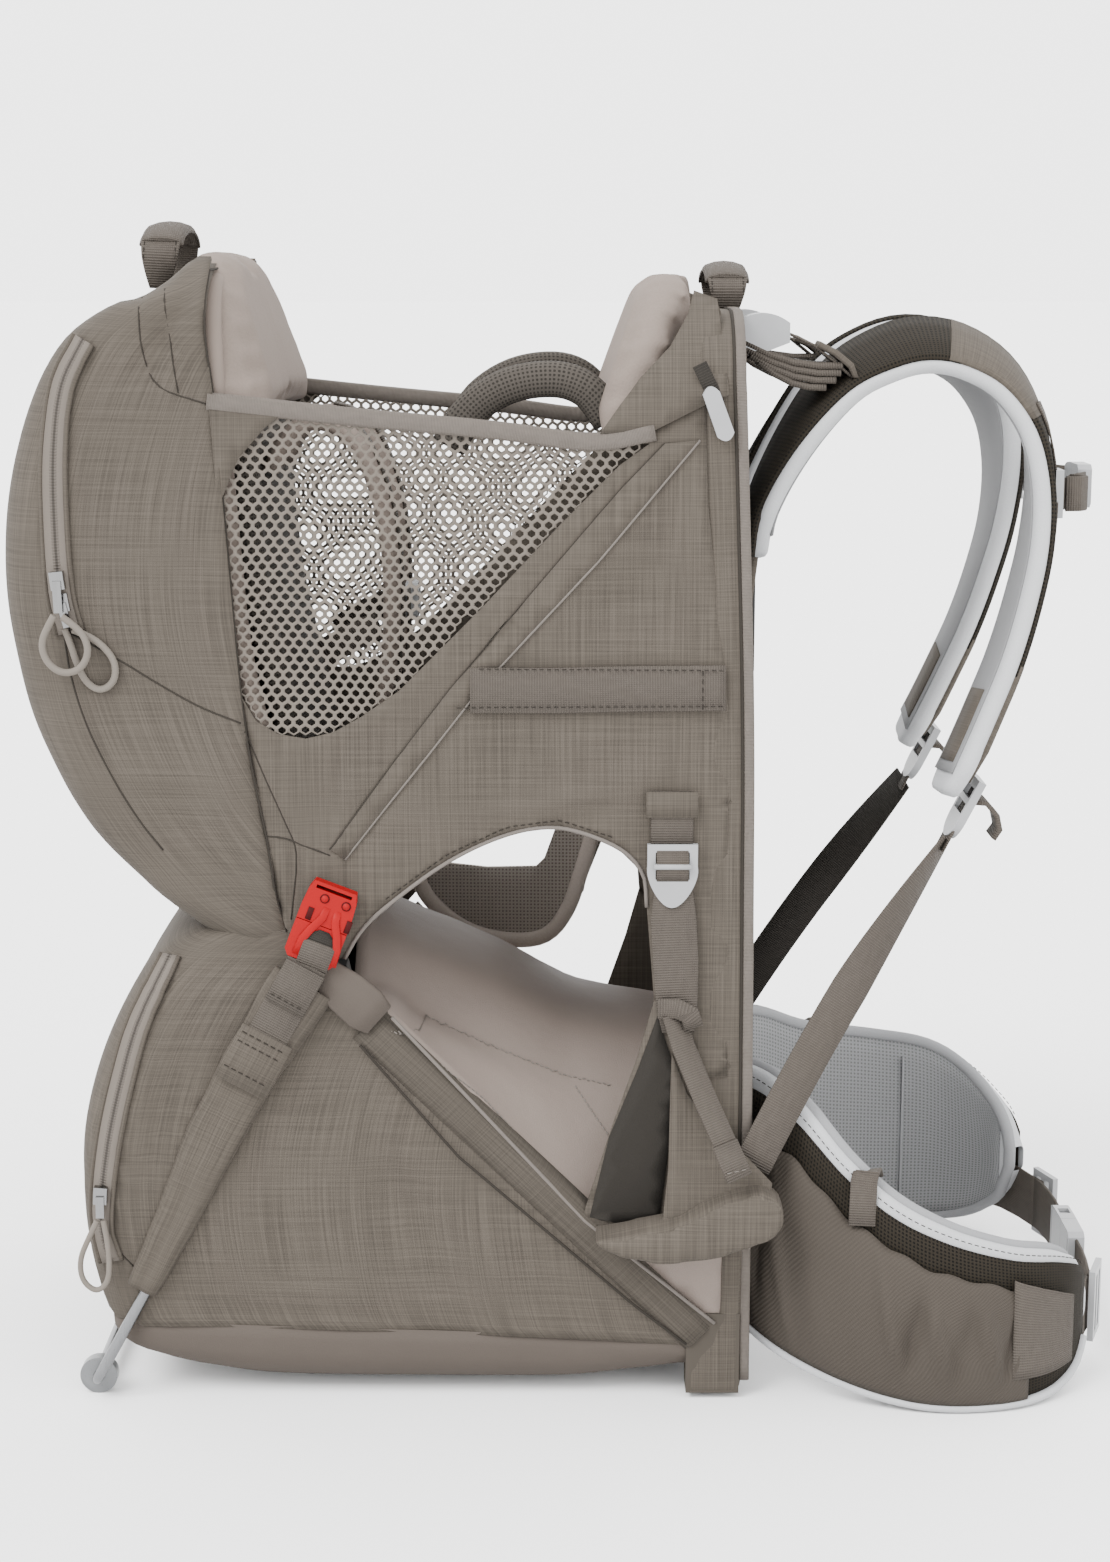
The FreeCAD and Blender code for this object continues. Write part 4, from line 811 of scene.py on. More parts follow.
def bowl_row(front, rear, z, half, power, depth, flare=0.0):
    """A level line from a front edge round the rear and back to the other front edge.

    half is its half width, depth how far the rear's curve reaches forwards, and a higher power
    squares the curve's corners."""
    depth = min(depth, front - rear)
    bend = rear + depth
    flat = [(front, -half)] if front - bend > 1 else []
    for step in range(-QUARTER_STEPS, QUARTER_STEPS + 1):
        turn = step / QUARTER_STEPS * math.pi / 2
        y = half * math.copysign(abs(math.sin(turn)) ** (2 / power), turn)
        flat.append((bend - depth * abs(math.cos(turn)) ** (2 / power), y))
    if front - bend > 1:
        flat.append((front, half))
    row = []
    for x, y in spaced(flat, LEVEL_POINTS):
        spread = 1 + flare / half * max(0.0, 1 - (front - x) / FLARE_REACH) ** 1.5
        row.append(at(x, y * spread, z))
    return row


def rumple(piece, folds, height=0.9, reach=70, seed=0.0):
    """Moves a cloth's surface in and out: broad unevenness, and folds from point to point.

    Each fold is its two ends as (x, z), its depth and its width."""
    mesh = piece.data
    normals = [vertex.normal.copy() for vertex in mesh.vertices]
    for vertex, normal in zip(mesh.vertices, normals):
        spot = vertex.co * 1000 / reach
        move = height * noise.noise(Vector((spot.x, spot.y * 0.7, spot.z + seed)))
        flat = Vector((vertex.co.x * 1000 - SHIFT, vertex.co.z * 1000))
        for start, end, depth, width in folds:
            run = Vector(end) - Vector(start)
            share = (flat - Vector(start)).dot(run) / run.length_squared
            if -0.1 < share < 1.1:
                off = abs((flat.x - start[0]) * run.y - (flat.y - start[1]) * run.x) / run.length
                fade = max(0.0, 1 - abs(share * 2 - 1) ** 3)
                move += 1.5 * depth * fade * math.exp(-(off / width) ** 2)
        vertex.co += normal * (move / 1000)
    mesh.update()


POCKET_HALF = 141
WALL_HALF = 144
WALL_FOOT = 430
WALL_STEP = 9.9
CORNER_START = 690  # the height above which the pocket's top corners turn in


def corner_inset(z):
    """How far the pocket's top corners are turned in at a height."""
    return 0.2 * max(0, z - CORNER_START) ** 1.5


pocket_rows = []
for spot in apart(smooth(POCKET_BACK, 6), 8):
    half_width = POCKET_HALF - max(0, 330 - spot.y) * 0.2 - corner_inset(spot.y)
    pocket_rows.append(bowl_row(x_at(HOOP_SEAM, spot.y), spot.x, spot.y, half_width, power=6.5,
                                depth=120, flare=6.5))
rear_pocket = grid("rear_pocket_shell", pocket_rows, slub, flip=True)
rumple(rear_pocket, [((-176, 330), (-215, 440), -2.4, 7), ((-172, 312), (-250, 400), 2.2, 9),
                     ((-175, 306), (-255, 345), -2.2, 7), ((-212, 706), (-252, 640), 3.0, 7),
                     ((-209, 664), (-244, 694), -2.6, 6), ((-214, 690), (-232, 640), -2.2, 5),
                     ((-300, 500), (-285, 420), -2.0, 7), ((-222, 712), (-262, 690), 2.0, 6),
                     ((-190, 430), (-170, 330), 2.0, 6), ((-240, 640), (-215, 520), 1.4, 10)],
       height=1.4, reach=60)
solid(rear_pocket, 2.4)
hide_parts("rear_pocket")

# The pocket's front wall, stretched over the hoop behind the head pad.
wall_rows = []
for step in range(30):
    height = WALL_FOOT + step * WALL_STEP
    half_width = WALL_HALF - corner_inset(height)
    wall_rows.append([at(x_at(HOOP_SEAM, height) - 2.5, half_width * share / 10, height)
                      for share in range(-10, 11)])
front_wall = grid("pocket_front_wall", wall_rows, slub, flip=True)
solid(front_wall, 1.2)

BAG_HALF = 147
BAG_TUCKED = 0.146  # metres from the middle to the bag's front edges, under the arm covers
bag_rows = []
for spot in apart(smooth(BAG_BACK, 6), 8):
    half_width = BAG_HALF - max(0, spot.y - 270) * 0.15
    bag_rows.append(bowl_row(x_at(BAG_FRONT, spot.y), spot.x, spot.y, half_width, power=9, depth=100))
lower_bag = grid("lower_bag_shell", bag_rows, slub, flip=True)
rumple(lower_bag, [((-150, 250), (-60, 60), 1.6, 14), ((-140, 240), (-20, 90), -1.4, 12),
                   ((-230, 290), (-286, 110), -1.6, 8), ((-205, 290), (-270, 130), 1.8, 8),
                   ((-215, 280), (-250, 90), -1.6, 7), ((-232, 62), (-40, 54), 1.8, 7),
                   ((-250, 74), (-120, 64), -1.4, 7), ((-130, 228), (10, 62), 2.0, 9),
                   ((-120, 222), (-70, 60), 1.4, 12)], height=1.5, reach=60, seed=3.0)
# The bag's foot sinks to the edge of the base, and its front edges tuck in.
for vertex in lower_bag.data.vertices:
    x, z = vertex.co.x * 1000 - SHIFT, vertex.co.z * 1000
    sink = max(0.0, min(1.0, (100 - z) / 50))
    vertex.co.z -= sink * max(0.0, 51 - z_at(BASE_EDGE, x)) / 1000
    x, z = vertex.co.x * 1000 - SHIFT, vertex.co.z * 1000
    near = max(0.0, min(1.0, (x - x_at(BAG_FRONT, z) + 34) / 24))
    if near > 0 and abs(vertex.co.y) > 0.12:
        tucked = math.copysign(BAG_TUCKED, vertex.co.y)
        vertex.co.y += (tucked - vertex.co.y) * near
solid(lower_bag, 2.2)
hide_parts("lower_bag")

BELLY = [(-288, 46), (-276, 29), (-255, 19), (-233, 12), (-200, 5), (-168, 2.2), (-120, 1.4), (-40, 1.4),
         (10, 2.5), (50, 9), (96, 18)]
base_rows = []
for spot in apart(smooth(BELLY, 6), 9):
    inset_x = max(0.0, min(1.0, (-189 - spot.x) / 100))
    half_width = BAG_HALF * (1 - inset_x ** 9) ** (1 / 9)
    top = z_at(BASE_EDGE, spot.x)
    row = []
    for step in range(-20, 21):
        turn = step / 20 * math.pi / 2
        y = half_width * math.copysign(abs(math.sin(turn)) ** 0.5, turn)
        row.append(at(spot.x, y, top - (top - spot.y) * abs(math.cos(turn)) ** 0.42))
    base_rows.append(spaced(row, 41))
bag_base = grid("bag_base_shell", base_rows, base_cloth)
solid(bag_base, 1.6, 1.0)
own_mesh(bag_base)
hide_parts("bag_base")

# ---------------------------------------------------------------- cockpit sides

WINDOW = [(-203, 629), (-200, 565), (-195, 480), (-191, 456), (-183, 442), (-170, 434), (-153, 431),
          (-136, 435), (-118, 445), (-95, 461), (-46, 510), (3, 562), (39, 598), (57, 611), (22, 610),
          (-37, 617), (-123, 625)]
LEG_EDGE = [(-131, 292), (-121, 309), (-105, 325), (-67, 353), (-29, 371), (3, 375), (37, 364), (54, 347),
            (57, 325), (62, 264)]
PANEL = ([(-206, 634), (-200, 577), (-196, 517), (-193, 473), (-190, 441), (-185, 406), (-178, 368),
          (-173, 332), (-167, 309), (-158, 292)] + LEG_EDGE
         + [(80, 264), (84, 215), (108, 215), (106, 448), (92, 577), (90, 640), (59, 618), (22, 612),
            (-37, 619), (-123, 627)])
PAD_COVER = [(27, 617), (39, 634), (51, 650), (69, 668), (80, 687), (84, 701), (98, 696), (104, 640),
             (90, 634), (60, 619)]
panels = {}


PANEL_Y = 147.6  # the cockpit's side panels lie this far from the middle


def side_wall(side, bulge):
    """Where the cockpit's side lies: flat, with slight waves and a dip where the bag pulls on it."""
    def place(x, z):
        wave = 1.1 * noise.noise(Vector((x / 60, side * 5.0, z / 60)))
        pull = 1.5 * math.exp(-(((x + 160) / 50) ** 2 + ((z - 330) / 40) ** 2))
        return at(x, side * (PANEL_Y + bulge + wave - pull * 0.5), z)
    return place


CELL_WIDTH = 6.7
CELL_RISE = 4.8
HOLE_SHARE = 0.66
NET_DRIFTS = {RIGHT: 2.0, LEFT: 9.0}  # which part of the noise pulls each window's net
noise.seed_set(4)  # noise_vector would take its seed from the clock, and the nets would change each run


def hex_cell(u, v, share):
    """The six corners round a hole of the net, as a share of the way from its middle."""
    half = CELL_WIDTH / 2
    low = (CELL_RISE ** 2 - half ** 2) / (2 * CELL_RISE)
    high = CELL_RISE - low
    ring = [(0, high), (half, low), (half, -low), (0, -high), (-half, -low), (-half, low)]
    return [(u + a * share, v + b * share) for a, b in ring]


def net(name, outline, place, side):
    """A sheet of open knitted net, cell by cell."""

    def stretched(u, v):
        drift = noise.noise_vector(Vector((u / 55, v / 55, NET_DRIFTS[side])))
        return u + 3.2 * drift.x, v + 3.2 * drift.y

    points, faces, uvs = [], [], []
    low_u, high_u, low_v, high_v = extent(outline)
    for j in range(int((high_v - low_v) / CELL_RISE) + 1):
        for i in range(int((high_u - low_u) / CELL_WIDTH) + 1):
            u, v = low_u + (i + 0.5 * (j % 2)) * CELL_WIDTH, low_v + j * CELL_RISE
            if not inside((u, v), outline):
                continue
            start = len(points)
            rings = [hex_cell(u, v, 1.0), hex_cell(u, v, HOLE_SHARE)]
            points += [place(*stretched(*spot)) for ring in rings for spot in ring]
            for k in range(6):
                m = (k + 1) % 6
                faces.append([start + k, start + 6 + k, start + 6 + m, start + m])
                corner = (rings[0][k], rings[1][k], rings[1][m], rings[0][m])
                uvs.append([(a / 1000, b / 1000) for a, b in corner])
    piece = make(name, points, faces, uvs, net_yarn)
    weld = piece.modifiers.new("weld", "WELD")
    weld.merge_threshold = 0.0002
    return solid(piece, 0.9, 0)


WINDOW_CORNER = [(-207, 636), (-160, 631), (-174, 620), (-190, 602), (-203, 572)]
for side_name, side in SIDES.items():
    side_cut("window_corner", side, WINDOW_CORNER, side_wall(side, 1.4), slub, 1.0)
    panel = cut_cloth(f"cockpit_panel_{side_name}", PANEL, side_wall(side, 0), slub, [WINDOW],
                      flip=side == LEFT)
    rumple(panel, [((-70, 372), (70, 410), 1.8, 10), ((-100, 335), (50, 395), -1.6, 8),
                   ((-40, 385), (80, 440), -1.2, 9), ((66, 590), (-20, 480), 1.4, 9),
                   ((80, 560), (10, 480), -1.2, 8), ((-150, 322), (-88, 420), -2.0, 7),
                   ((-146, 318), (-120, 420), 1.8, 7), ((-134, 304), (-176, 420), 2.0, 7),
                   ((-150, 330), (-190, 420), -1.6, 6), ((92, 330), (60, 440), 1.2, 7)],
           height=0.8, reach=45, seed=side)
    solid(panel, 1.8)
    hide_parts(f"side_panel_{side_name}")
    panels[side] = panel
    window = net(f"mesh_window_{side_name}", WINDOW, side_wall(side, -1.6), side)
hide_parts("mesh_windows")

skin = tree_of(rear_pocket, lower_bag, panels[RIGHT], panels[LEFT])

# Seams, piping and stitching on the shells, the same on both sides.
POCKET_SEAM = [(-298, 497), (-266, 479), (-245, 466), (-218, 451), (-192, 441)]
REAR_FOLD = [(-300, 500), (-296, 470), (-287, 438), (-274, 408), (-258, 380), (-243, 360)]
DART = [(-190, 436), (-178, 406), (-166, 378), (-160, 358), (-164, 317)]
DIAGONAL_LOW = [(-130, 355), (-95, 399), (-46, 462), (27, 541), (62, 583), (87, 613)]
DIAGONAL_HIGH = [(-139, 362), (-100, 415), (-64, 462), (3, 541), (40, 584), (66, 611)]
SIDE_WEB = [(-52, 461.5), (0, 461.5), (50, 462.5), (104, 463)]
RAIL = [(-208, 635), (-123, 626), (-37, 618), (22, 611), (60, 617)]
def on_skin(side, lift):
    """Where a layer lies that follows the shells on a side."""
    return lambda x, z: drape([(x, z), (x + 0.1, z)], skin, side, lift)[0][0]


# The dark lines of the seams: each one's points, radius and lift off the cloth.
SEAMS = {
    "hoop_seam": (smooth(HOOP_SEAM[1:], 4), 0.7, 0.1),
    "pocket_seam": (smooth(POCKET_SEAM, 4), 0.55, 0.05),
    "rear_fold": (smooth(REAR_FOLD, 4), 0.6, 0.05),
    "dart_seam": (smooth(DART, 4), 0.5, 0),
    "patch_seam": ([(-178, 370), (-164, 368), (-139, 358)], 0.5, 0),
    "tuck_seam_0": (smooth([(-248, 697), (-246, 665), (-237, 645), (-207, 634)], 4), 0.5, 0),
    "tuck_seam_1": (smooth([(-233, 702), (-225, 641)], 4), 0.5, 0),
    "tuck_seam_2": (smooth([(-281, 103), (-268, 89)], 4), 0.5, 0),
}
RAIL_Y = 147.4
STRIP_LIFT = 4.4  # stitches on the side webbing and its backing, above the panel
sewn = []
for side_name, side in SIDES.items():
    for seam_name, (line, radius, lift) in SEAMS.items():
        side_cord(f"{seam_name}_{side_name}", line, skin, side, radius, dark_edge, lift)
    side_cut("diagonal_facing", side, DIAGONAL_LOW + DIAGONAL_HIGH[::-1], on_skin(side, 1.6), slub, 1.4)
    side_cord(f"diagonal_piping_{side_name}", DIAGONAL_LOW, skin, side, 0.8, piping, 1.0)
    side_cord(f"diagonal_seam_{side_name}", DIAGONAL_HIGH, skin, side, 0.6, dark_edge, 1.0)
    line, ups = drape(SIDE_WEB, skin, side, 3.0)
    sweep(f"side_webbing_{side_name}", line, ups, flat_bar(28, 1.6), webbing)
    side_cord(f"leg_piping_{side_name}", smooth(LEG_EDGE[:-1], 5), skin, side, 1.3, piping, 0.2)
    rail = level(side, RAIL_Y, [(x, z + 1) for x, z in smooth(RAIL, 5)])
    sweep(f"rail_binding_{side_name}", rail, OUT[side], flat_bar(11, 5), binding)
    cover = side_cut("pad_cover", side, PAD_COVER, side_wall(side, 2.2), slub, 2.0)
    for vertex in cover.data.vertices:
        vertex.co.y -= side * 0.6 * max(0.0, vertex.co.z - 0.645)
    for row in ([(-46, 475), (104, 474)], [(-60, 451), (104, 452)], [(90, 450), (90, 476)]):
        sewn.append(drape(row, skin, side, STRIP_LIFT))
    inner_leg = [(x, z + 5) for x, z in LEG_EDGE[2:7]]
    sewn.append(drape(inner_leg, skin, side, 0.2))
stitches("panel_stitches", sewn, dark_thread)

# ---------------------------------------------------------------- zips

UPPER_ZIP = [(-282, 672), (-296, 645), (-302, 606), (-303, 563), (-301, 520), (-296, 496)]
LOWER_ZIP = [(-241, 291), (-261, 250), (-272, 215), (-281, 178), (-287, 140), (-288, 112), (-283, 92)]


def zip_band(name, flat, node):
    """A zip on the right side: its tape with the teeth, between two rolled lips of cloth."""
    line, ups = drape(smooth(flat, 5), skin, RIGHT, 0.9, 5)
    tape = sweep(name, line, ups, flat_bar(14, 1.4), zip_tape)
    for offset, label in ((-8.2, "rear"), (8.2, "front")):
        lip = []
        for (before, point, after), up in zip(neighbours(line), ups):
            across = (after - before).normalized().cross(up).normalized()
            lip.append(point + across * (offset / 1000))
        sweep(f"{name}_{label}_lip", lip, ups, round_bar(1.5, 8), slub)
    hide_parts(node)


zip_band("upper_zip_right", UPPER_ZIP, "upper_zip_tape")
zip_band("lower_zip_right", LOWER_ZIP, "lower_zip_tape")

# ---------------------------------------------------------------- front band and braces

BAND_LINE = [(107, 12), (107, 200), (107, 330), (106, 448), (101.5, 577), (99, 640)]
BAND_WIDTHS = [(31, 12), (30, 200), (28, 330), (27, 448), (27, 577), (27, 640), (24, 700)]


BAND_FULL_WIDTH = 26
BAND_TOP_X = 99
BAND_TOP_Z = 682
BEND_Y = 95  # where the bend's middle lies, from the carrier's middle and from the floor
BEND_Z = 640
BEND_REACH = 45
BEND_STEPS = 9


def band_route():
    """The U of the front band: up the right leg, over the top and down the left leg."""
    line, ups, widths = [], [], []
    for spot in apart(smooth(BAND_LINE, 6), 12):
        line.append(at(spot.x, -BEND_Y - BEND_REACH, spot.y))
        ups.append(OUT[RIGHT])
        widths.append(x_at(BAND_WIDTHS, spot.y) / BAND_FULL_WIDTH)
    for step in range(1, BEND_STEPS):
        turn = math.radians(90 * step / BEND_STEPS)
        height = BEND_Z + (BAND_TOP_Z - BEND_Z) * math.sin(turn)
        line.append(at(BAND_TOP_X, -BEND_Y - BEND_REACH * math.cos(turn), height))
        ups.append(Vector((0, -math.cos(turn), math.sin(turn))))
        widths.append(1.0)
    for y in (-90, -60, -30, 0):
        line.append(at(BAND_TOP_X, y, BAND_TOP_Z))
        ups.append(Vector((0, 0, 1)))
        widths.append(1.0)
    mirrored = [Vector((p.x, -p.y, p.z)) for p in line[:-1]][::-1]
    return (line + mirrored, ups + [Vector((0, -u.y, u.z)) for u in ups[:-1]][::-1],
            widths + widths[:-1][::-1])


band_points, band_ups, band_widths = band_route()


def band_line(forward, lift):
    """A line along the band, off its middle line by forward and lift in millimetres."""
    return [point + Vector((forward * width / 1000, 0, 0)) + up * lift / 1000
            for point, up, width in zip(band_points, band_ups, band_widths)]


BAND_SECTION = [(-13, -8), (-8, -9.5), (8, -9.5), (13, -8), (13.5, 0), (12.5, 5.2), (9, 7), (0, 7.5),
                (-9, 7), (-12.5, 5.2), (-13.5, 0)]
front_band = sweep("front_band", band_points, band_ups, BAND_SECTION, slub, widths=band_widths)
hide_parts("frame_sleeves")
sweep("band_edge_binding", band_line(12.2, 6.6), band_ups, flat_bar(6.5, 3.4), binding)
sweep("band_coil", band_line(8.4, 7.1), band_ups, round_bar(1.1, 6), dark_edge)

ARM_LINE = [(-118, 249), (-56, 188), (10, 123), (92, 42)]
ARM_UPPER = [(-102, 255), (-45, 192), (19, 121), (102, 52)]
ARM_LOWER = [(-122, 237), (-61, 164), (51, 64), (84, 38)]
ARM_SECTION = [(-13.5, -7), (-9, -10), (9, -10), (13.5, -7), (14, 0), (12, 6.5), (7, 9.6), (-7, 9.6),
               (-12, 6.5), (-14, 0)]
ARM_Y = 142.4
ARM_FACE_Y = 151.2
for side_name, side in SIDES.items():
    arm_line = level(side, ARM_Y, apart(ARM_LINE, 14))
    # The arm covers take the darker slub cloth as painted shade.
    arm = sweep(f"arm_cover_{side_name}", arm_line, OUT[side], ARM_SECTION, slub_shaded)
    replaces_both(arm, side, "arm_covers")
    upper = level(side, ARM_FACE_Y, apart(ARM_UPPER, 12))
    sweep(f"arm_piping_{side_name}", upper, OUT[side], round_bar(1.2, 8), piping)
    lower = level(side, ARM_FACE_Y + 0.4, apart(ARM_LOWER, 12))
    sweep(f"arm_seam_{side_name}", lower, OUT[side], round_bar(0.9, 8), dark_edge)

# ---------------------------------------------------------------- seat

CREST = [(-132, 294), (-105, 284), (-70, 270), (-39, 257), (-12, 240), (10, 229), (40, 222), (96, 214)]
SEAT_SEAM = [(-132, 256), (-106, 246), (-80, 238), (-47, 222), (6, 199), (46, 190), (96, 180)]
SEAT_EDGE = [(-132, 262), (-102, 252), (-45, 190), (19, 119), (96, 52)]


def seat_row(x):
    """The seat across the carrier at an x: up from each edge over the seam to the crest."""
    crest, seam, edge = z_at(CREST, x), z_at(SEAT_SEAM, x), z_at(SEAT_EDGE, x)
    seam = max(seam, edge + 4)
    fall, rise = seam - edge, crest - seam
    half = [(-143, edge), (-132, edge + 0.25 * fall), (-112, edge + 0.72 * fall), (-92, seam),
            (-60, seam + 0.72 * rise), (-30, seam + 0.94 * rise), (0, crest)]
    full = half + [(-y, z) for y, z in half[:-1]][::-1]
    line = smooth(full, 5)
    return [at(x, p.x, p.y) for p in spaced(line, 49)]


seat_rows = [seat_row(x) for x in range(-130, 96, 9)]
seat = grid("seat_cloth", seat_rows, seat_cloth)
rumple(seat, [], height=1.2, reach=45, seed=8.0)
solid(seat, 3.0)
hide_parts("seat_saddle")
seat_skin = tree_of(seat)
zigzag = []
for step in range(24):
    for x, lift in ((-104 + 6 * step, 0), (-101 + 6 * step, 1.6)):
        zigzag.append((x, z_at(SEAT_SEAM, x) + lift))
seat_lines = []
for side in (RIGHT, LEFT):
    for run in (zigzag, [(13, 194), (39, 160)], [(-98, 246), (-45, 198), (19, 127)]):
        seat_lines.append(drape(run, seat_skin, side, 0.3, 3))
stitches("seat_stitches", seat_lines, thread, dash=2.2, gap=1.4, radius=0.4)

# ---------------------------------------------------------------- padding of the cockpit


def block(name, points, material):
    """A closed block from the points of its near outline, then those of its far outline."""
    count = len(points) // 2
    faces = [list(range(count)), list(range(2 * count - 1, count - 1, -1))]
    faces += [[i, i + count, (i + 1) % count + count, (i + 1) % count] for i in range(count)]
    uvs = [[(0, 0)] * len(face) for face in faces]
    return make(name, points, faces, uvs, material)


def side_block(name, side, outline, near, far, material):
    """A block drawn out between two distances from the middle, from an outline of (x, z)."""
    low, high = sorted((side * near, side * far))
    points = [at(x, y, z) for y in (low, high) for x, z in outline]
    return block(f"{name}_{SIDE_NAMES[side]}", points, material)


PAD_FRONT_VIEW = [(-145, 0.0), (-141, 0.3), (-128, 0.58), (-108, 0.8), (-80, 0.94), (-45, 1.0), (45, 1.0),
                  (80, 0.94), (108, 0.8), (128, 0.58), (141, 0.3), (145, 0.0)]
HEAD_PADS = {
    # the pad's low and high edges, its foot's and top's x, its depth and how that changes as it rises
    "rear_head_pad": (622, 730, -219, -228, 1.75, -0.95),
    "front_head_pad": (618, 714, 28, 62, 0.8, 0.2),
}
PAD_THICKNESS = 27
for pad_name, (low, high, foot, top, depth, growth) in HEAD_PADS.items():
    outline = [(p.x, p.y) for p in apart(smooth(PAD_FRONT_VIEW, 4), 16)]
    points = [at(foot + (top - foot) * rise + thickness * (depth + growth * rise), y,
                 low + (high - low) * rise)
              for thickness in (0, PAD_THICKNESS) for y, rise in outline]
    cushion = block(pad_name + "_cushion", points, light_pad)
    inflate(cushion, voxel=6.0, pressure=4.0, cap=6.0, ease=3)
    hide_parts(pad_name)

BACKREST_LINE = [(-143, 320), (-171, 444), (-186, 520), (-193, 632)]
backrest_line = [at(x, 0, z) for x, z in apart(smooth(BACKREST_LINE, 6), 14)]
BACKREST_SECTION = [(-118, -5), (-112, -8), (112, -8), (118, -5), (118, 4), (108, 8), (70, 5), (66, 4),
                    (62, 5), (30, 8.5), (0, 9), (-30, 8.5), (-62, 5), (-66, 4), (-70, 5), (-108, 8),
                    (-118, 4)]
backrest = sweep("child_backrest_pad", backrest_line, Vector((1, 0, 0)), BACKREST_SECTION, child_mesh)
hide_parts("child_backrest")

CHILD_STRAP_Y = 48
CHEST_X = -95
CHEST_Z = 500
CHILD_STRAP = [(-180, 588), (-172, 606), (-152, 619), (-126, 606), (-108, 556), (-105, 490), (-113, 430),
               (-130, 366), (-142, 332)]
CHILD_SECTION = [(-20, -2.5), (-17, -5), (17, -5), (20, -2.5), (20, 2), (15, 5), (0, 6.5), (-15, 5),
                 (-20, 2)]
for side_name, side in SIDES.items():
    line = level(side, CHILD_STRAP_Y, apart(smooth(CHILD_STRAP, 6), 8))
    ups = []
    for before, _, after in neighbours(line):
        tangent = after - before
        ups.append(Vector((-tangent.z, 0, tangent.x)).normalized())
    strap = sweep(f"child_strap_{side_name}", line, ups, CHILD_SECTION, light_pad)
    replaces_both(strap, side, "child_harness")
    webs = [point + up * 0.0068 for point, up in zip(line, ups)]
    sweep(f"child_webbing_{side_name}", webs[6:], ups[6:], flat_bar(16, 1.4), webbing)
    strip("child_side_web", side, [(-150, 62, 470), (-130, 62, 482), (-112, 62, 490)], 18, 1.4, webbing)
chest_line = [at(CHEST_X, y, CHEST_Z) for y in (-46, -30, -14, 14, 30, 46)]
sweep("child_chest_web", chest_line, Vector((1, 0, 0)), flat_bar(18, 1.2), webbing)

# A padded roll across the child's front, just above the rails.
ROLL_SECTION = [(-8, -9), (8, -9), (11, -5), (11, 5), (8, 9), (-8, 9), (-11, 5), (-11, -5)]
roll_line = smooth([(-66, 606), (-52, 628), (-28, 643), (0, 647), (20, 640), (34, 622)], 5)
for side_name, side in SIDES.items():
    roll = [at(p.x, side * (96 + 0.12 * p.x), p.y) for p in roll_line]
    sweep(f"front_roll_{side_name}", roll, OUT[side], ROLL_SECTION, child_mesh)

# The padded cuff of the far leg opening, a U that hangs inside the panel.
CUFF = [(-100, 292), (-101, 276), (-90, 256), (-66, 237), (-36, 229), (-8, 232), (9, 252), (20, 284),
        (30, 318)]
CUFF_PANEL = [(-104, 292), (-96, 262), (-66, 232), (-36, 224), (-4, 228), (14, 252), (44, 330), (18, 352),
              (2, 318), (-8, 290), (-14, 284), (-50, 283), (-80, 286)]


def cuff_place(y):
    """Where the cuff lies: it leans a little towards the middle at its front."""
    return lambda x, z: at(x, y - 0.05 * (x + 36), z)


# The lining and the edge below are painted light: lighter than their cloth, to make up for the shade in the
# leg opening.
cuff_panel = cut_cloth("leg_cuff_lining", CUFF_PANEL, cuff_place(143), leg_lining, gap=8)
solid(cuff_panel, 4.0)
cuff_line = [cuff_place(142.5)(x, z) for x, z in apart(smooth(CUFF, 6), 6)]
sweep("leg_cuff_edge", cuff_line, -OUT[LEFT], flat_bar(11, 7), cuff_cloth)

# ---------------------------------------------------------------- back panel

PANEL_FACE_X = 106.4
PANEL_ROWS = [(106.6, 70), (119, 84), (119.5, 160), (117, 300), (116, 420), (117, 600), (106.6, 614)]
pad_rows = []
for spot in apart(smooth(PANEL_ROWS, 6), 14):
    row = []
    for step in range(-16, 17):
        y = step * 8
        edge = 1 - (abs(y) / 129) ** 8
        ridge = 1 - 0.55 * math.exp(-(y / 11) ** 2)
        row.append(at(PANEL_FACE_X + (spot.x - PANEL_FACE_X) * edge * ridge, y, spot.y))
    pad_rows.append(row)
back_pad = grid("back_panel_cushion", pad_rows, grey_mesh, flip=True)
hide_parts("back_panel_pad")

# ---------------------------------------------------------------- kickstand sleeves and safety straps

SLEEVE = [(-156, 278), (-166, 262), (-180, 240), (-195, 216), (-222, 163), (-243, 117), (-263, 76)]
SLEEVE_WIDTHS = [(1.14, 270), (1.02, 216), (0.92, 163), (0.74, 117), (0.56, 76)]
SLEEVE_SECTION = [(-17, -3), (-13, -4.4), (13, -4.4), (17, -3), (18, -0.5), (15, 2.6), (9, 3.6), (4, 2.6),
                  (0, 3.6), (-6, 4.2), (-13, 3.2), (-18, -0.5)]
STAND_STRAP = [(-153.5, 158.4, 291), (-166, 159.6, 268), (-180, 159.4, 243), (-192, 158.6, 222)]
STAND_FOLD = [(-154, 161.2, 289.5), (-161, 161.2, 277), (-168, 161.2, 264.5)]
STAND_TAB = [(-178.5, 160.6, 246), (-187, 160.8, 230.5), (-197, 158.8, 212)]
STAND_ACROSS = Vector((0.87, 0, -0.49))
STAND_STITCHES = [(-181, 161.7, 242, 15), (-184, 161.8, 236.5, 15), (-166, 162.5, 268, 11.5),
                  (-193, 160.6, 220, 15)]
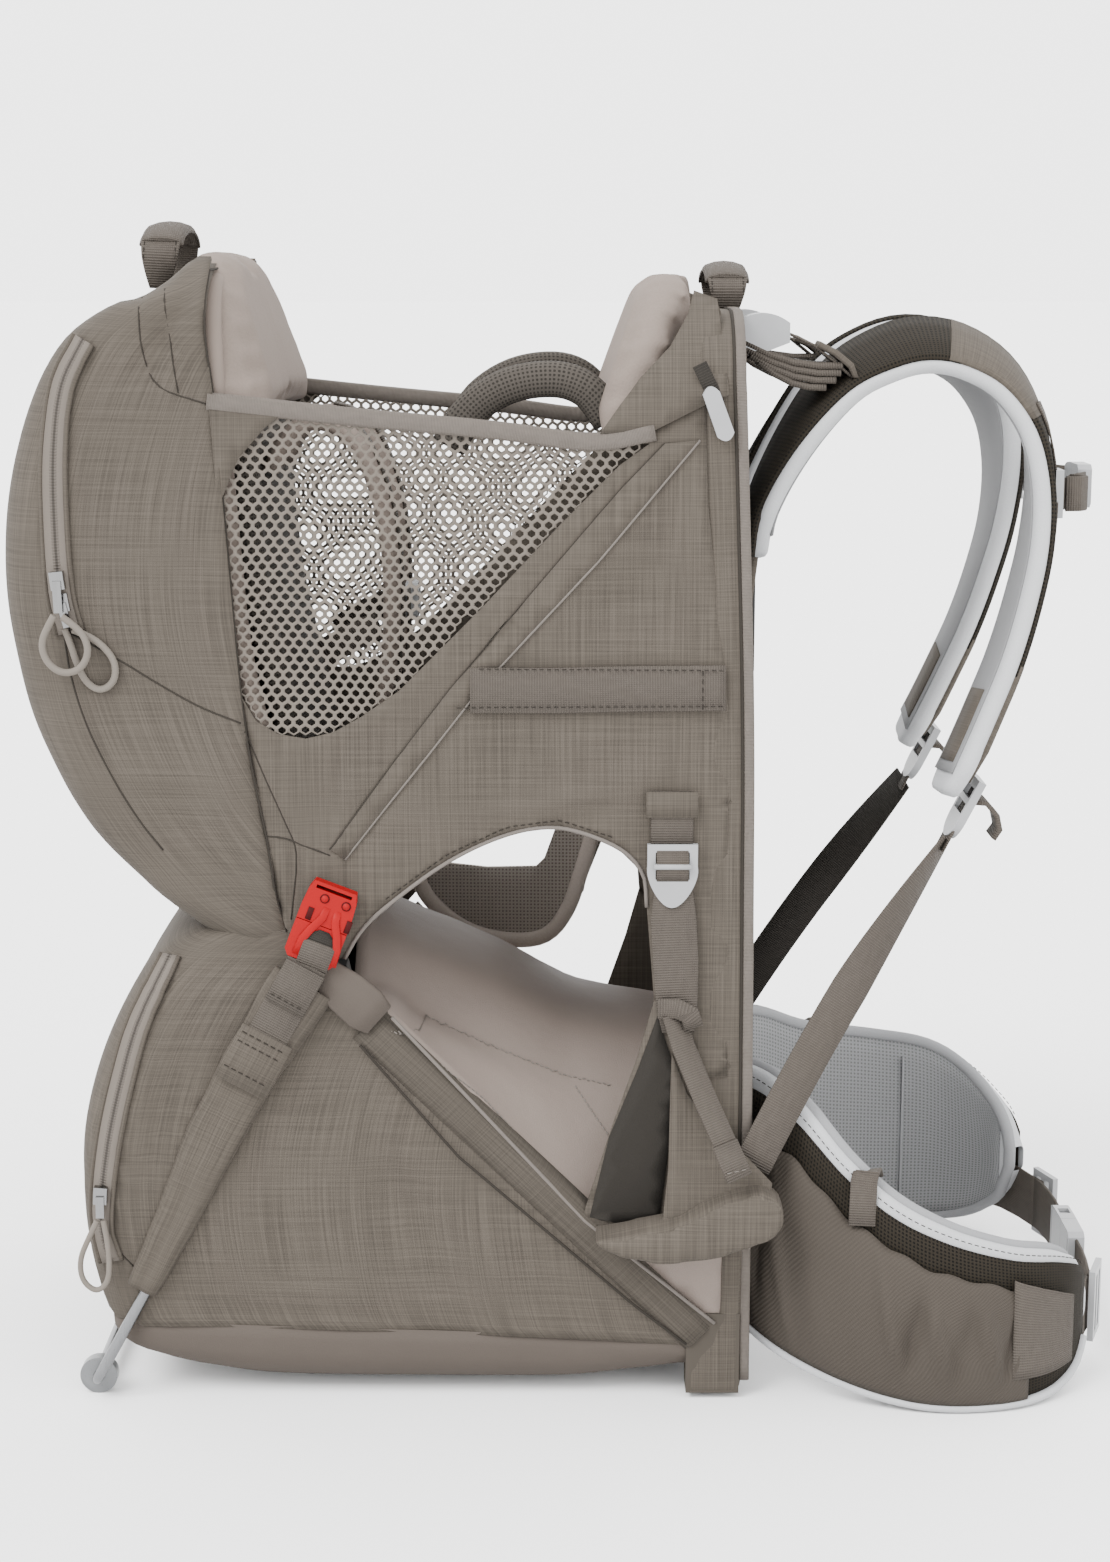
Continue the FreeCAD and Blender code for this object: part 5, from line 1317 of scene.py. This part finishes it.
for side_name, side in SIDES.items():
    flat = apart(smooth(SLEEVE, 5), 6)
    line = [at(p.x, side * (152.8 + 2 * max(0, min(1, (p.y - 215) / 30))), p.y) for p in flat]
    widths = [x_at(SLEEVE_WIDTHS, p.y) for p in flat]
    sleeve = sweep(f"stand_sleeve_{side_name}", line, OUT[side], SLEEVE_SECTION, slub, "kickstand", widths)
    for vertex in sleeve.data.vertices:
        spot = vertex.co * 1000
        ripple = noise.noise(Vector((spot.x / 16, side * 3.0, spot.z / 26)))
        vertex.co.y += side * 0.0011 * ripple
        vertex.co.x += 0.0014 * noise.noise(Vector((spot.z / 22, side * 7.0, spot.x / 30)))
    replaces_both(sleeve, side, "kickstand_sleeves")
    strap = strip("stand_strap", side, STAND_STRAP, 26, 1.8, webbing, "kickstand")
    replaces_both(strap, side, "safety_straps")
    fold = strip("stand_strap_fold", side, STAND_FOLD, 26.5, 2.4, webbing, "kickstand")
    tab = strip("stand_strap_tab", side, STAND_TAB, 35, 2.0, slub, "kickstand")
    rows = []
    for x, y, z, half in STAND_STITCHES:
        middle = at(x, side * y, z)
        rows.append(([middle - STAND_ACROSS * half / 1000, middle + STAND_ACROSS * half / 1000], OUT[side]))
    sewing = stitches(f"stand_stitches_{side_name}", rows, dark_thread, "kickstand", radius=0.35)
    for piece in (sleeve, strap, fold, tab, sewing):
        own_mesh(piece)

# ---------------------------------------------------------------- haul handles


GRIP_SECTION = [(-13.4, -3.6), (-11, -2.4), (0, -1.2), (11, -2.4), (13.4, -3.6), (14, -2.2), (11.5, 1.6),
                (6, 3.4), (0, 4), (-6, 3.4), (-11.5, 1.6), (-14, -2.2)]


def handle(name, x, rise, ends, lean):
    """A folded loop of webbing across the carrier, with its legs turned in a little."""
    shape = [(-42, 0), (-46, 0.3), (-46, 0.58), (-38, 0.82), (-21, 0.96), (0, 1.0), (21, 0.96), (38, 0.82),
             (46, 0.58), (46, 0.3), (42, 0)]
    line, ups = [], []
    curve = smooth([(y, ends + rise * share) for y, share in shape], 5)
    for before, point, after in neighbours(curve):
        tangent = (after - before).normalized()
        height = (point.y - ends) / rise
        line.append(at(x + lean * height, point.x, point.y))
        ups.append(Vector((0, -tangent.y, tangent.x)))
    climbs = [min(1, (point.z * 1000 - ends) / rise * 1.15) for point in line]
    widths = [0.52 + 0.48 * math.sin(climb * math.pi / 2) for climb in climbs]
    loop = sweep(name + "_webbing", line, ups, flat_bar(25, 2.6), webbing, name, widths)
    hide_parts(name)
    middle = len(line) // 2
    grip = slice(middle - 12, middle + 13)
    sweep(name + "_grip", line[grip], ups[grip], GRIP_SECTION, webbing, name)
    sewn_part = slice(8, -8)
    rows = []
    for edge in (-0.01, 0.01):
        row = [p + Vector((edge, 0, 0)) + u * 0.0013 for p, u in zip(line[sewn_part], ups[sewn_part])]
        rows.append((row, ups[sewn_part]))
    stitches(name + "_stitches", rows, dark_thread, name)


handle("front_handle", x=109, rise=29, ends=686, lean=0)
handle("rear_handle", x=-250, rise=38, ends=702, lean=2)

# ---------------------------------------------------------------- foot stirrups

STIRRUP_BACK = [(62, 266), (52, 230), (36, 184), (17, 122), (41, 113), (92, 120), (122, 131), (112, 168),
                (96, 200), (82, 246), (82, 266)]
# The outline of the painted shade inside each stirrup.
STIRRUP_INNER_SHADE = [(64, 256), (52, 222), (34, 177), (22, 124), (45, 119), (66, 122), (73, 180), (75, 222)]
STIRRUP_FLAP = [(73, 232), (83, 206), (100, 184), (120, 168), (136, 152), (134, 132), (66, 118), (71, 160)]
PLATFORM = [(18, 119), (42, 108), (64, 104), (96, 106), (136, 120), (143, 130), (142, 143), (128, 152),
            (104, 146), (80, 132), (41, 123)]
BUCKLE_WEB = [(153.4, 362), (155.4, 357), (155.8, 352.5), (155.4, 348), (153.4, 343)]
STIRRUP_WEB = [(73, 152, 346), (73.5, 151.6, 318), (75, 151.4, 290), (76, 151.6, 262), (77, 152.6, 246)]
OUTER_STRAP = [(74, 154, 258), (80, 158, 238), (94, 170, 206), (106, 181, 181), (113, 186.5, 166)]
STIRRUP_TAB = [(105, 182, 183), (110, 186.6, 172), (114, 189.5, 163)]


def flap_place(side):
    """Where a stirrup's flap lies: flat at the top, and swung outwards to the platform below."""
    return lambda x, z: at(x, side * (153 + 22 * max(0, min(1, (222 - z) / 100)) ** 1.3), z)


for side_name, side in SIDES.items():
    hanger = strip("stirrup_hanger", side, [(72, 151.2, z) for z in (399, 380, 364)], 26, 1.8, webbing)
    replaces_both(hanger, side, "foot_stirrups")
    strip("stirrup_patch", side, [(72, 152.6, 399), (72, 152.6, 383)], 32, 1.8, slub)
    strip("buckle_webbing", side, [(72.5, y, z) for y, z in BUCKLE_WEB], 20, 1.4, webbing)
    strip("buckle_bar", side, [(61, 156.4, 352.5), (84, 156.4, 352.5)], 3.2, 2, grey_plastic)
    strip("stirrup_webbing", side, STIRRUP_WEB, 27, 1.8, webbing, widths=[0.8, 1.05, 1.05, 0.95, 0.75])
    side_cut("stirrup_back", side, STIRRUP_BACK, flat_side(side, 151.4), slub, 1.8, gap=9)
    # A near-black sheet inside the stirrup: painted shade where the loop keeps the light out.
    side_cut("stirrup_inner_shade", side, STIRRUP_INNER_SHADE, flat_side(side, 152.6), painted_inner_shade, 1.2, gap=9)
    side_cut("stirrup_flap", side, STIRRUP_FLAP, flap_place(side), slub, 2.0)
    foot_rest = side_block("stirrup_platform", side, PLATFORM, 152, 187, slub)
    inflate(foot_rest, voxel=5.0, pressure=3.0, cap=3.0, ease=3)
    outer = on_side(side, OUTER_STRAP)
    up = Vector((0.55, side * 0.83, 0.1)).normalized()
    sweep(f"stirrup_outer_strap_{side_name}", outer, up, flat_bar(17, 1.8), webbing)
    tab = on_side(side, STIRRUP_TAB)
    sweep(f"stirrup_tab_{side_name}", tab, up, flat_bar(19, 2.4), webbing)
    middle = (tab[1] + tab[2]) / 2 + up * 0.0013
    reach = Vector((0.007, -side * 0.0045, 0))
    stitches(f"stirrup_sewing_{side_name}", [([middle - reach, middle + reach], up)], thread)
    strip("stirrup_fold", side, [(64, 156, 262), (76, 156, 262), (84, 156, 258), (86, 156, 250)], 13, 3.2,
          webbing)
    strip("toggle_webbing", side, [(86, 149.6, 658), (93, 149.6, 644), (97, 149.6, 634)], 9, 1.4,
          dark_webbing)

# ---------------------------------------------------------------- wearer's harness

SHOULDER_LINE = [(126, 534), (131, 566), (152, 607), (180, 643), (208, 660), (233, 666), (258, 661),
                 (282, 645), (299, 617), (305, 583), (303, 545), (295, 508), (284, 472), (271, 440),
                 (257, 408), (246, 386)]
SHOULDER_TOP = 666
SHOULDER_TOP_Y = 58.5
LEAN = math.tan(math.radians(8))  # how far the straps spread as they go down
FOAM_SECTION = [(-32.5, -1.5), (-30.5, -5), (-26, -6.6), (-10, -6.2), (0, -5.6), (10, -6.2), (26, -6.6),
                (30.5, -5), (32.5, -1.5), (32.5, 2), (30.5, 4.8), (26, 6), (0, 7.4), (-26, 6), (-30.5, 4.8),
                (-32.5, 2)]
COVER_SECTION = [(-29.5, -3.4), (29.5, -3.4), (31, -1), (28.5, 1.8), (8, 3.3), (-8, 3.3), (-28.5, 1.8),
                 (-31, -1)]
# Each layer's start and end along the strap, lift off its middle, section and material.
STRAP_LAYERS = {
    "mesh_upper": (0.0, 0.40, 6.4, COVER_SECTION, dark_mesh),
    "patch": (0.38, 0.53, 6.6, COVER_SECTION, slub),
    "mesh_lower": (0.51, 0.84, 6.4, COVER_SECTION, dark_mesh),
    "tip": (0.82, 0.985, 6.6, COVER_SECTION, slub),
    "webbing": (0.5, 0.95, 10.6, flat_bar(20, 1.4), webbing),
    "lining": (0.02, 0.975, -6.6, flat_bar(50, 1.8), strap_lining),
    "inner_patch": (0.86, 0.965, -7.6, flat_bar(36, 1.8), slub),
}


def shoulder_y(z):
    """How far a shoulder strap is from the middle at a height."""
    return SHOULDER_TOP_Y + (SHOULDER_TOP - z) * LEAN


def along_strap(side, start, end, lift, gap=7):
    """Part of a shoulder strap's line, lifted off its middle: the points and the ways out."""
    flat = apart(smooth(SHOULDER_LINE, 8), gap)
    count = len(flat)
    line, ups = [], []
    for index, point in enumerate(flat):
        share = index / (count - 1)
        if start - 1e-6 <= share <= end + 1e-6:
            before, after = flat[max(index - 1, 0)], flat[min(index + 1, count - 1)]
            tangent = (after - before).normalized()
            roll = 0.42 * math.exp(-((share - 0.36) / 0.2) ** 2)
            up = Vector((-tangent.y, side * roll, tangent.x)).normalized()
            line.append(at(point.x, side * shoulder_y(point.y), point.y) + up * lift / 1000)
            ups.append(up)
    return line, ups


for side_name, side in SIDES.items():
    line, ups = along_strap(side, 0, 1, 0)
    widths = [min(1, 0.62 + 0.38 * min(i, (len(line) - 1 - i) * 1.4) / 4) for i in range(len(line))]
    foam = sweep(f"strap_foam_{side_name}", line, ups, FOAM_SECTION, foam_lining, "harness", widths)
    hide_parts(f"shoulder_strap_{side_name}")
    round_over = foam.modifiers.new("round", "SUBSURF")
    round_over.levels = 1
    round_over.render_levels = 1
    for layer, (start, end, lift, section, material) in STRAP_LAYERS.items():
        line, ups = along_strap(side, start, end, lift)
        widths = None
        if layer == "tip":
            widths = [min(1, 0.6 + 0.4 * (len(line) - 1 - i) / 3) for i in range(len(line))]
        sweep(f"strap_{layer}_{side_name}", line, ups, section, material, "harness", widths)
    root_patch = level(side, 60, ((119, 462), (121, 500), (125, 536), (130, 556)))
    sweep(f"strap_root_{side_name}", root_patch, Vector((1, 0, 0)), flat_bar(50, 6), slub, "harness",
          [0.7, 0.9, 1, 1])

# Load lifters: a folded stack of webbing at the strap, running back to the frame's buckle.
LIFTER_Y = 78
LIFTER = [(133, 676), (146, 674), (160, 667.5), (174, 656.5), (184, 648)]
LIFTER_FOLDS = [((117, 669), (178, 655)), ((118, 665), (177, 650.5)), ((121, 661), (174, 646)),
                ((126, 657), (168, 641.5))]
LIFTER_CAP = [(163, 668), (173, 663), (183, 655), (186, 648), (180, 642)]
FOLD_SAG = 5
for side_name, side in SIDES.items():
    y = side * LIFTER_Y
    web = sweep(f"lifter_webbing_{side_name}", level(side, LIFTER_Y, LIFTER), Vector((0.45, 0, 0.89)),
                flat_bar(21, 1.6), webbing, None)
    replaces_both(web, side, "harness_webbings")
    at(138, y, 675)
    at(172, y, 658)
    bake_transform(web)
    for layer, ((x0, z0), (x1, z1)) in enumerate(LIFTER_FOLDS):
        line = [at(x0 + (x1 - x0) * t, y, z0 + (z1 - z0) * t - FOLD_SAG * math.sin(math.pi * t))
                for t in (0, 0.25, 0.5, 0.75, 1)]
        fold = sweep(f"lifter_fold_{side_name}_{layer}", line, Vector((0.3, 0, 0.95)), flat_bar(25, 4.2),
                     webbing, None)
        at(138, y, 660)
        at(172, y, 650)
        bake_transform(fold)
    cap = level(side, LIFTER_Y, LIFTER_CAP)
    sweep(f"lifter_sewing_{side_name}", cap, Vector((0.5, 0, 0.86)), flat_bar(27, 4), slub, "harness")

# Lower webbings: from the adjusters down to the ends of the base, turning as they go.
WEB_TOP = (248, shoulder_y(370) + 3, 358)
WEB_FOOT = (124, 158, 160)
WEB_STEPS = 24
WEB_SAG = 5
ADJUSTER_Y = shoulder_y(375) + 1
ADJUSTER_LOOP = [(245, 352), (252, 366), (262, 382), (268, 392)]
ADJUSTER_TAIL = [(262, 384), (272, 383), (279, 375), (281, 366), (277, 360)]
TAIL_UPS = [Vector((0.2, 0, 1)), Vector((0.3, 0, 0.95)), Vector((0.9, 0, 0.4)), Vector((1, 0, -0.1)),
            Vector((0.9, 0, -0.5))]
for side_name, side in SIDES.items():
    line, ups = [], []
    for step in range(WEB_STEPS + 1):
        t = step / WEB_STEPS
        x, y, z = (a + (b - a) * t for a, b in zip(WEB_TOP, WEB_FOOT))
        line.append(at(x - WEB_SAG * math.sin(math.pi * t), side * y, z))
        turn = math.radians(24 + 58 * min(1, t * 2.2))
        ups.append(Vector((math.cos(turn) * 0.85, side * math.sin(turn), -math.cos(turn) * 0.5)))
    # The far side's lower webbing is painted darker: painted shade on the side away from the light.
    shown = webbing if side == RIGHT else dark_webbing
    web = sweep(f"lower_webbing_{side_name}", line, ups, flat_bar(25, 1.7), shown, None)
    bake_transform(web)
    loop = level(side, ADJUSTER_Y, ADJUSTER_LOOP)
    sweep(f"adjuster_webbing_{side_name}", loop, Vector((0.89, 0, -0.45)), flat_bar(24, 1.7), webbing,
          "harness")
    tail = level(side, ADJUSTER_Y, ADJUSTER_TAIL)
    sweep(f"adjuster_tail_{side_name}", tail, TAIL_UPS, flat_bar(24, 3.2), webbing, "harness")

# Sternum strap.
STERNUM_Z = 575
STRAP_Y = shoulder_y(STERNUM_Z)
STERNUM_WEB = [(318, STRAP_Y + 9), (321, STRAP_Y + 4), (329, 50), (337, 36), (343, 26)]
STERNUM_LOOP = [(321, STRAP_Y + 7), (330, STRAP_Y + 6), (335, STRAP_Y), (333, STRAP_Y - 8),
                (327, STRAP_Y - 12)]
for side_name, side in SIDES.items():
    line = [at(x, side * y, STERNUM_Z) for x, y in STERNUM_WEB]
    ups = []
    for before, _, after in neighbours(line):
        tangent = (after - before).normalized()
        ups.append(Vector((tangent.y, -tangent.x, 0)) * side)
    web = sweep(f"sternum_webbing_{side_name}", line, ups, flat_bar(20, 1.6), webbing,
                "sternum" if side == LEFT else None)
    if side == RIGHT:
        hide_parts("sternum_webbing")
        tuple(line[1])
        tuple(line[3])
        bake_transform(web)
    loop = [at(x, side * y, STERNUM_Z) for x, y in STERNUM_LOOP]
    loop_ups = [OUT[side], Vector((0.4, side, 0)), Vector((1, 0, 0)), Vector((1, -side, 0)),
                Vector((0.6, -side, 0))]
    sweep(f"sternum_loop_{side_name}", loop, loop_ups, flat_bar(22, 2.2), webbing, "sternum")

# ---------------------------------------------------------------- hip belt

# The belt from above as (x, distance from the middle), and its edges in the side view.
BELT_LINE = [(112, 96), (128, 110), (160, 134), (200, 152), (245, 163), (290, 158), (322, 138), (340, 112)]
BELT_TOP = {RIGHT: [(108, 212), (122, 212), (140, 207), (160, 191), (185, 162), (215, 137), (250, 120),
                    (285, 108), (318, 98), (340, 82)],
            LEFT: [(108, 188), (141, 184), (183, 165), (235, 154), (280, 146), (312, 128), (340, 96)]}
BELT_LOW = {RIGHT: [(108, 56), (143, 29), (188, 12), (233, 4), (284, 3.5), (316, 7), (340, 24)],
            LEFT: [(108, 54), (143, 30), (188, 9), (233, 4), (276, 8), (313, 18), (340, 44)]}
belt_line = smooth(BELT_LINE, 8)
belt_tops = {side: smooth(edge, 6) for side, edge in BELT_TOP.items()}
belt_lows = {side: smooth(edge, 6) for side, edge in BELT_LOW.items()}


TIP_START = 0.9  # the share of the belt's length at which its tip starts to round off


def belt_spot(side, share, height, out):
    """A point of the belt: share along it, height as a share of its depth, out from its middle."""
    index = share * (len(belt_line) - 1)
    low = min(int(index), len(belt_line) - 2)
    spot = belt_line[low].lerp(belt_line[low + 1], index - low)
    before, after = belt_line[max(low - 1, 0)], belt_line[min(low + 2, len(belt_line) - 1)]
    tangent = (after - before).normalized()
    away = Vector((-tangent.y, tangent.x))
    tip = math.sqrt(max(0.0, 1 - ((share - TIP_START) / 0.1) ** 2.4)) if share > TIP_START else 1.0
    top, base = z_at(belt_tops[side], spot.x), z_at(belt_lows[side], spot.x)
    middle, half = (top + base) / 2, (top - base) / 2 * max(0.35, tip)
    z = middle + half * (2 * height - 1)
    return at(spot.x + away.x * out, side * (spot.y + away.y * out), z)


def belt_swell(u, v, puff, creases):
    """How far a layer of the belt stands out at a place on it: its stuffing and its creases."""
    swell = 0.0
    if 0 < u < 1 and 0 < v < 1:
        swell = puff * math.sin(math.pi * u) ** 0.5 * math.sin(math.pi * v) ** 0.6
    for place, width, depth in creases:
        off = u - place + 0.09 * (v - 0.5) * math.copysign(1, depth)
        swell += depth * math.exp(-(off / width) ** 2) * math.sin(math.pi * v)
    return swell


def belt_sheet(name, side, material, out, start, end, low, high, columns=40, rows=12, puff=0.0,
               creases=()):
    """A layer on a face of the belt between two places along it, from low up to the height high(u)."""
    lines = []
    for j in range(rows + 1):
        line = []
        for i in range(columns + 1):
            u, v = i / columns, j / rows
            swell = math.copysign(belt_swell(u, v, puff, creases), out)
            height = low + (high(u) - low) * v
            line.append(belt_spot(side, start + (end - start) * u, height, out + swell))
        lines.append(line)
    return grid(f"{name}_{SIDE_NAMES[side]}", lines, material, flip=(side == RIGHT) != (out > 0))


def belt_rim(side, height, out, first, last, steps):
    """A line along the belt at one height."""
    return [belt_spot(side, step / steps, height, out) for step in range(first, last)]


def pocket_top(u):
    """The wavy mouth of the belt's pocket."""
    return 0.80 - 0.05 * u + 0.010 * math.sin(u * 52) + 0.006 * math.sin(u * 23 + 1)


def hip_ups(line):
    """The ways forwards out of the belt's webbing along a level line."""
    ups = []
    for before, _, after in neighbours(line):
        tangent = (after - before).normalized()
        up = Vector((tangent.y, -tangent.x, 0))
        ups.append(up if up.x > 0 else -up)
    return ups


# Where the pocket's cloth is creased: place along it, width, and depth in or out.
POCKET_CREASES = ((0.10, 0.022, 5.5), (0.16, 0.03, -4.5), (0.24, 0.018, 3.5), (0.36, 0.05, 2.5),
                  (0.60, 0.02, 5.0), (0.66, 0.025, -5.0), (0.73, 0.018, 4.5), (0.80, 0.03, -3.0),
                  (0.87, 0.02, 5.0), (0.93, 0.02, -4.0))
BELT_TAB = [(0.80, 12.5), (0.90, 10.5), (1.0, 9.0), (1.03, 3.0), (1.02, -4.0), (0.97, -9.8)]
WEBBING_Z = 43
HIP_STUB = [(300, 163), (318, 152), (334, 134), (344, 114), (349, 100), (355, 86)]
HIP_FRONT = [(351, 96), (354, 84), (356, 66), (357, 50)]
HIP_ENDS = {RIGHT: 24.5, LEFT: 36}  # how near the middle each webbing reaches, into its buckle half
WING_STEPS = 48
WING_SIDES = 28
WING_HALF_THICKNESS = 7.2


def wing_ring(side, share):
    """The belt's stuffed section at a place along it."""
    ring = []
    for k in range(WING_SIDES):
        turn = 2 * math.pi * k / WING_SIDES
        c, s = math.cos(turn), math.sin(turn)
        out = WING_HALF_THICKNESS * math.copysign(abs(c) ** 0.5, c)
        height = 0.5 + 0.5 * math.copysign(abs(s) ** 0.36, s)
        ring.append(belt_spot(side, share, height, out))
    return ring + ring[:1]


for side_name, side in SIDES.items():
    rings = [wing_ring(side, step / WING_STEPS) for step in range(WING_STEPS + 1)]
    wing = grid(f"belt_wing_{side_name}", rings, foam_lining, flip=side == LEFT)
    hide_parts(f"hipbelt_wing_{side_name}")
    outer = belt_sheet("belt_mesh", side, dark_mesh, out=8.2, start=0.0, end=0.975, low=0.035,
                       high=lambda u: 0.93)
    solid(outer, 1.5)
    inner = belt_sheet("belt_lining", side, grey_mesh, out=-8.0, start=0.0, end=0.955, low=0.03,
                       high=lambda u: 0.97, puff=2.5)
    edge = belt_rim(side, 0.99, -4.6, 0, 40, 40)
    edge += [belt_spot(side, 0.99, v / 10, -4.6) for v in range(8, 2, -1)]
    edge += belt_rim(side, 0.012, -4.6, 0, 39, 40)[::-1]
    sweep(f"belt_inner_binding_{side_name}", edge, -OUT[side], round_bar(4.4, 10), grey_binding)
    low_edge = belt_rim(side, 0.004, 8.4, 0, 40, 40)
    sweep(f"belt_low_piping_{side_name}", low_edge, OUT[side], round_bar(3.2, 8), foam_lining)
    rim = belt_rim(side, 0.975, 7.4, 1, 58, 60)
    rim_ups = [(b - a).normalized() for a, b in zip(rim, belt_rim(side, 0.975, 9, 1, 58, 60))]
    stitches(f"belt_rim_stitches_{side_name}", [(rim, rim_ups)], dark_thread, radius=0.35)
    solid(inner, 1.5)
    seam = [belt_spot(side, 0.62, v / 10, -11.0) for v in range(1, 10)]
    sweep(f"belt_lining_seam_{side_name}", seam, -OUT[side], round_bar(0.9, 6), grey_binding)
    pocket = belt_sheet("belt_pocket", side, pocket_cloth, out=9.6, start=0.1, end=0.74, low=0.03,
                        high=pocket_top, columns=72, rows=24, puff=8.0, creases=POCKET_CREASES)
    solid(pocket, 1.6, 1.0)
    replaces_both(pocket, side, "hip_pockets")
    tongue = belt_sheet("belt_tongue", side, webbing, out=12.0, start=0.70, end=0.86, low=0.18,
                        high=lambda u: 0.82 - 0.12 * u, columns=12, rows=8)
    solid(tongue, 1.8, 1.0)
    loop = [belt_spot(side, 0.42, height, out) for height, out in BELT_TAB]
    loop_ups = [Vector((0, side, 0.1)), Vector((0, side, 0.2)), Vector((0, side, 0.7)), Vector((0, 0, 1)),
                Vector((0, -side, 0.8)), Vector((0, -side, 0.2))]
    sweep(f"belt_tab_{side_name}", loop, loop_ups, flat_bar(17, 1.8), webbing)
    stub = [at(x, side * y, WEBBING_Z) for x, y in HIP_STUB]
    piece = sweep(f"hip_stub_{side_name}", stub, hip_ups(stub), flat_bar(38, 2), webbing)
    replaces_both(piece, side, "hip_webbings")
    front = [at(x, side * y, WEBBING_Z) for x, y in (*HIP_FRONT, (357, HIP_ENDS[side]))]
    clip_web = sweep(f"hip_webbing_{side_name}", front, hip_ups(front), flat_bar(38, 2), webbing,
                     "root" if side == LEFT else None)
    if side == RIGHT:
        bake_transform(clip_web)

# ---------------------------------------------------------------- corner cuffs

CORNER = [(84, 1.5), (116, 1), (120, 4), (121, 108), (107, 110), (103, 60), (97, 40), (84, 20)]
SEAT_CORNER = [(24, 118), (110, 118), (108, 60), (100, 44), (60, 88)]
ARM_TAB = [(-150, 152, 290), (-143, 153, 283), (-130, 154, 272), (-118, 154, 261), (-110, 152.6, 254)]
for side in (RIGHT, LEFT):
    cuff = side_block("corner_cuff", side, CORNER, 120, 150.5, slub)
    side_cut("seat_corner", side, SEAT_CORNER, flat_side(side, 148.6), seat_cloth, 1.2, gap=12)
    inflate(cuff, voxel=5.0, pressure=3.0, cap=0.8, ease=2)
    strip("arm_tab", side, ARM_TAB, 26, 4, base_cloth, widths=[0.5, 0.85, 1.1, 1.15, 0.9])

# ---------------------------------------------------------------- details of the safety buckles


BUCKLE_TOP = Vector((-131.5, 340))
BUCKLE_WAY = Vector((-0.361, -0.9326))
FACE_Y = 159.5  # the outer face of the buckle
# The wider, lower first ring under each stud is a painted shadow.
STUD_RINGS = ((3.0, 0.3, shaded_red), (2.2, 0.9, red_plastic))  # radius, height and plastic
CLIP_ARM = ((15, 3.5, -0.8), (22, 4.2, 0.3), (31, 8.6, 0.6), (38, 11.2, 0.6), (49, 12, 0.2))
CLIP_WEB = ((37, -0.6), (39, 1.0), (46, 1.3), (53, -0.6), (58, -4))


def buckle_face(side, along, across, lift):
    """A point on a safety buckle: down its length from its top, off its middle line and off its face."""
    spot = BUCKLE_TOP + BUCKLE_WAY * along + Vector((-BUCKLE_WAY.y, BUCKLE_WAY.x)) * across
    return at(spot.x, side * (FACE_Y + lift), spot.y)


for side_name, side in SIDES.items():
    clip = f"safety_clip_{side_name}"
    for mark, across in enumerate((-1, 1)):
        for ring, (radius, lift, material) in enumerate(STUD_RINGS):
            stud = [buckle_face(side, 10, across * 7, height) for height in (-1.5, lift)]
            sweep(f"buckle_stud_{side_name}_{mark}_{ring}", stud, Vector((1, 0, 0)), round_bar(radius, 14),
                  material)
        # The side windows are painted shade: darker red where the openings are shaded.
        waist = [buckle_face(side, along, across * 12.6, 0.1) for along in (18, 26)]
        sweep(f"buckle_waist_{side_name}_{mark}", waist, OUT[side], flat_bar(3.6, 1), shaded_red)
        arm = [buckle_face(side, along, across * wide, lift) for along, wide, lift in CLIP_ARM]
        sweep(f"clip_arm_{side_name}_{mark}", arm, OUT[side], flat_bar(5, 1.8), red_plastic, clip)
    # The clip's middle gap is painted shade: a dark strip between its arms.
    gap = [buckle_face(side, along, 0, 0.3) for along in (29.5, 34, 39)]
    sweep(f"clip_window_{side_name}", gap, OUT[side], flat_bar(20, 1), dark_webbing, clip, [0.3, 0.9, 1.05])
    under = [buckle_face(side, along, 0, lift) for along, lift in CLIP_WEB]
    sweep(f"clip_webbing_{side_name}", under, OUT[side], flat_bar(20.5, 1.6), webbing, clip)

# ---------------------------------------------------------------- floor and light


FLOOR_REACH = 60
FLOOR_SHADE = 0.8
SKY_STRENGTH = 3.7
SUN_STRENGTH = 4.5
SUN_ANGLE = 30
SUN_WAY = Vector((-0.62, -0.55, 0.95))
FILL_PLACE = Vector((2.2, -1.6, 1.2))
FILL_AIM = Vector((0, 0, 0.4))
FILL_WATTS = 20
FILL_SIZE = 1.6


def light_up(name, kind, energy):
    """A light in the scene, still without a size or a direction."""
    data = bpy.data.lights.new(name, kind)
    data.energy = energy
    light = bpy.data.objects.new(name, data)
    scene.collection.objects.link(light)
    return light


floor_mesh = bpy.data.meshes.new("floor")
floor_corners = [(FLOOR_REACH * x, FLOOR_REACH * y, 0) for x, y in ((-1, -1), (1, -1), (1, 1), (-1, 1))]
floor_mesh.from_pydata(floor_corners, [], [(0, 1, 2, 3)])
floor = bpy.data.objects.new("floor", floor_mesh)
floor_material, floor_tree = new_material("floor")
finish_material(floor_tree, (FLOOR_SHADE, FLOOR_SHADE, FLOOR_SHADE, 1), 0.9)
floor_mesh.materials.append(floor_material)
scene.collection.objects.link(floor)

world = bpy.data.worlds.new("studio")
world.use_nodes = True
background = world.node_tree.nodes["Background"]
background.inputs["Color"].default_value = (1, 1, 1, 1)
background.inputs["Strength"].default_value = SKY_STRENGTH
scene.world = world
fill = light_up("fill", "AREA", FILL_WATTS)
fill.data.shape = "RECTANGLE"
fill.data.size = FILL_SIZE
fill.data.size_y = FILL_SIZE
fill.location = FILL_PLACE
fill.rotation_euler = (FILL_AIM - FILL_PLACE).to_track_quat("-Z", "Y").to_euler()
sun = light_up("key", "SUN", SUN_STRENGTH)
sun.data.angle = math.radians(SUN_ANGLE)
sun.rotation_euler = SUN_WAY.to_track_quat("Z", "Y").to_euler()
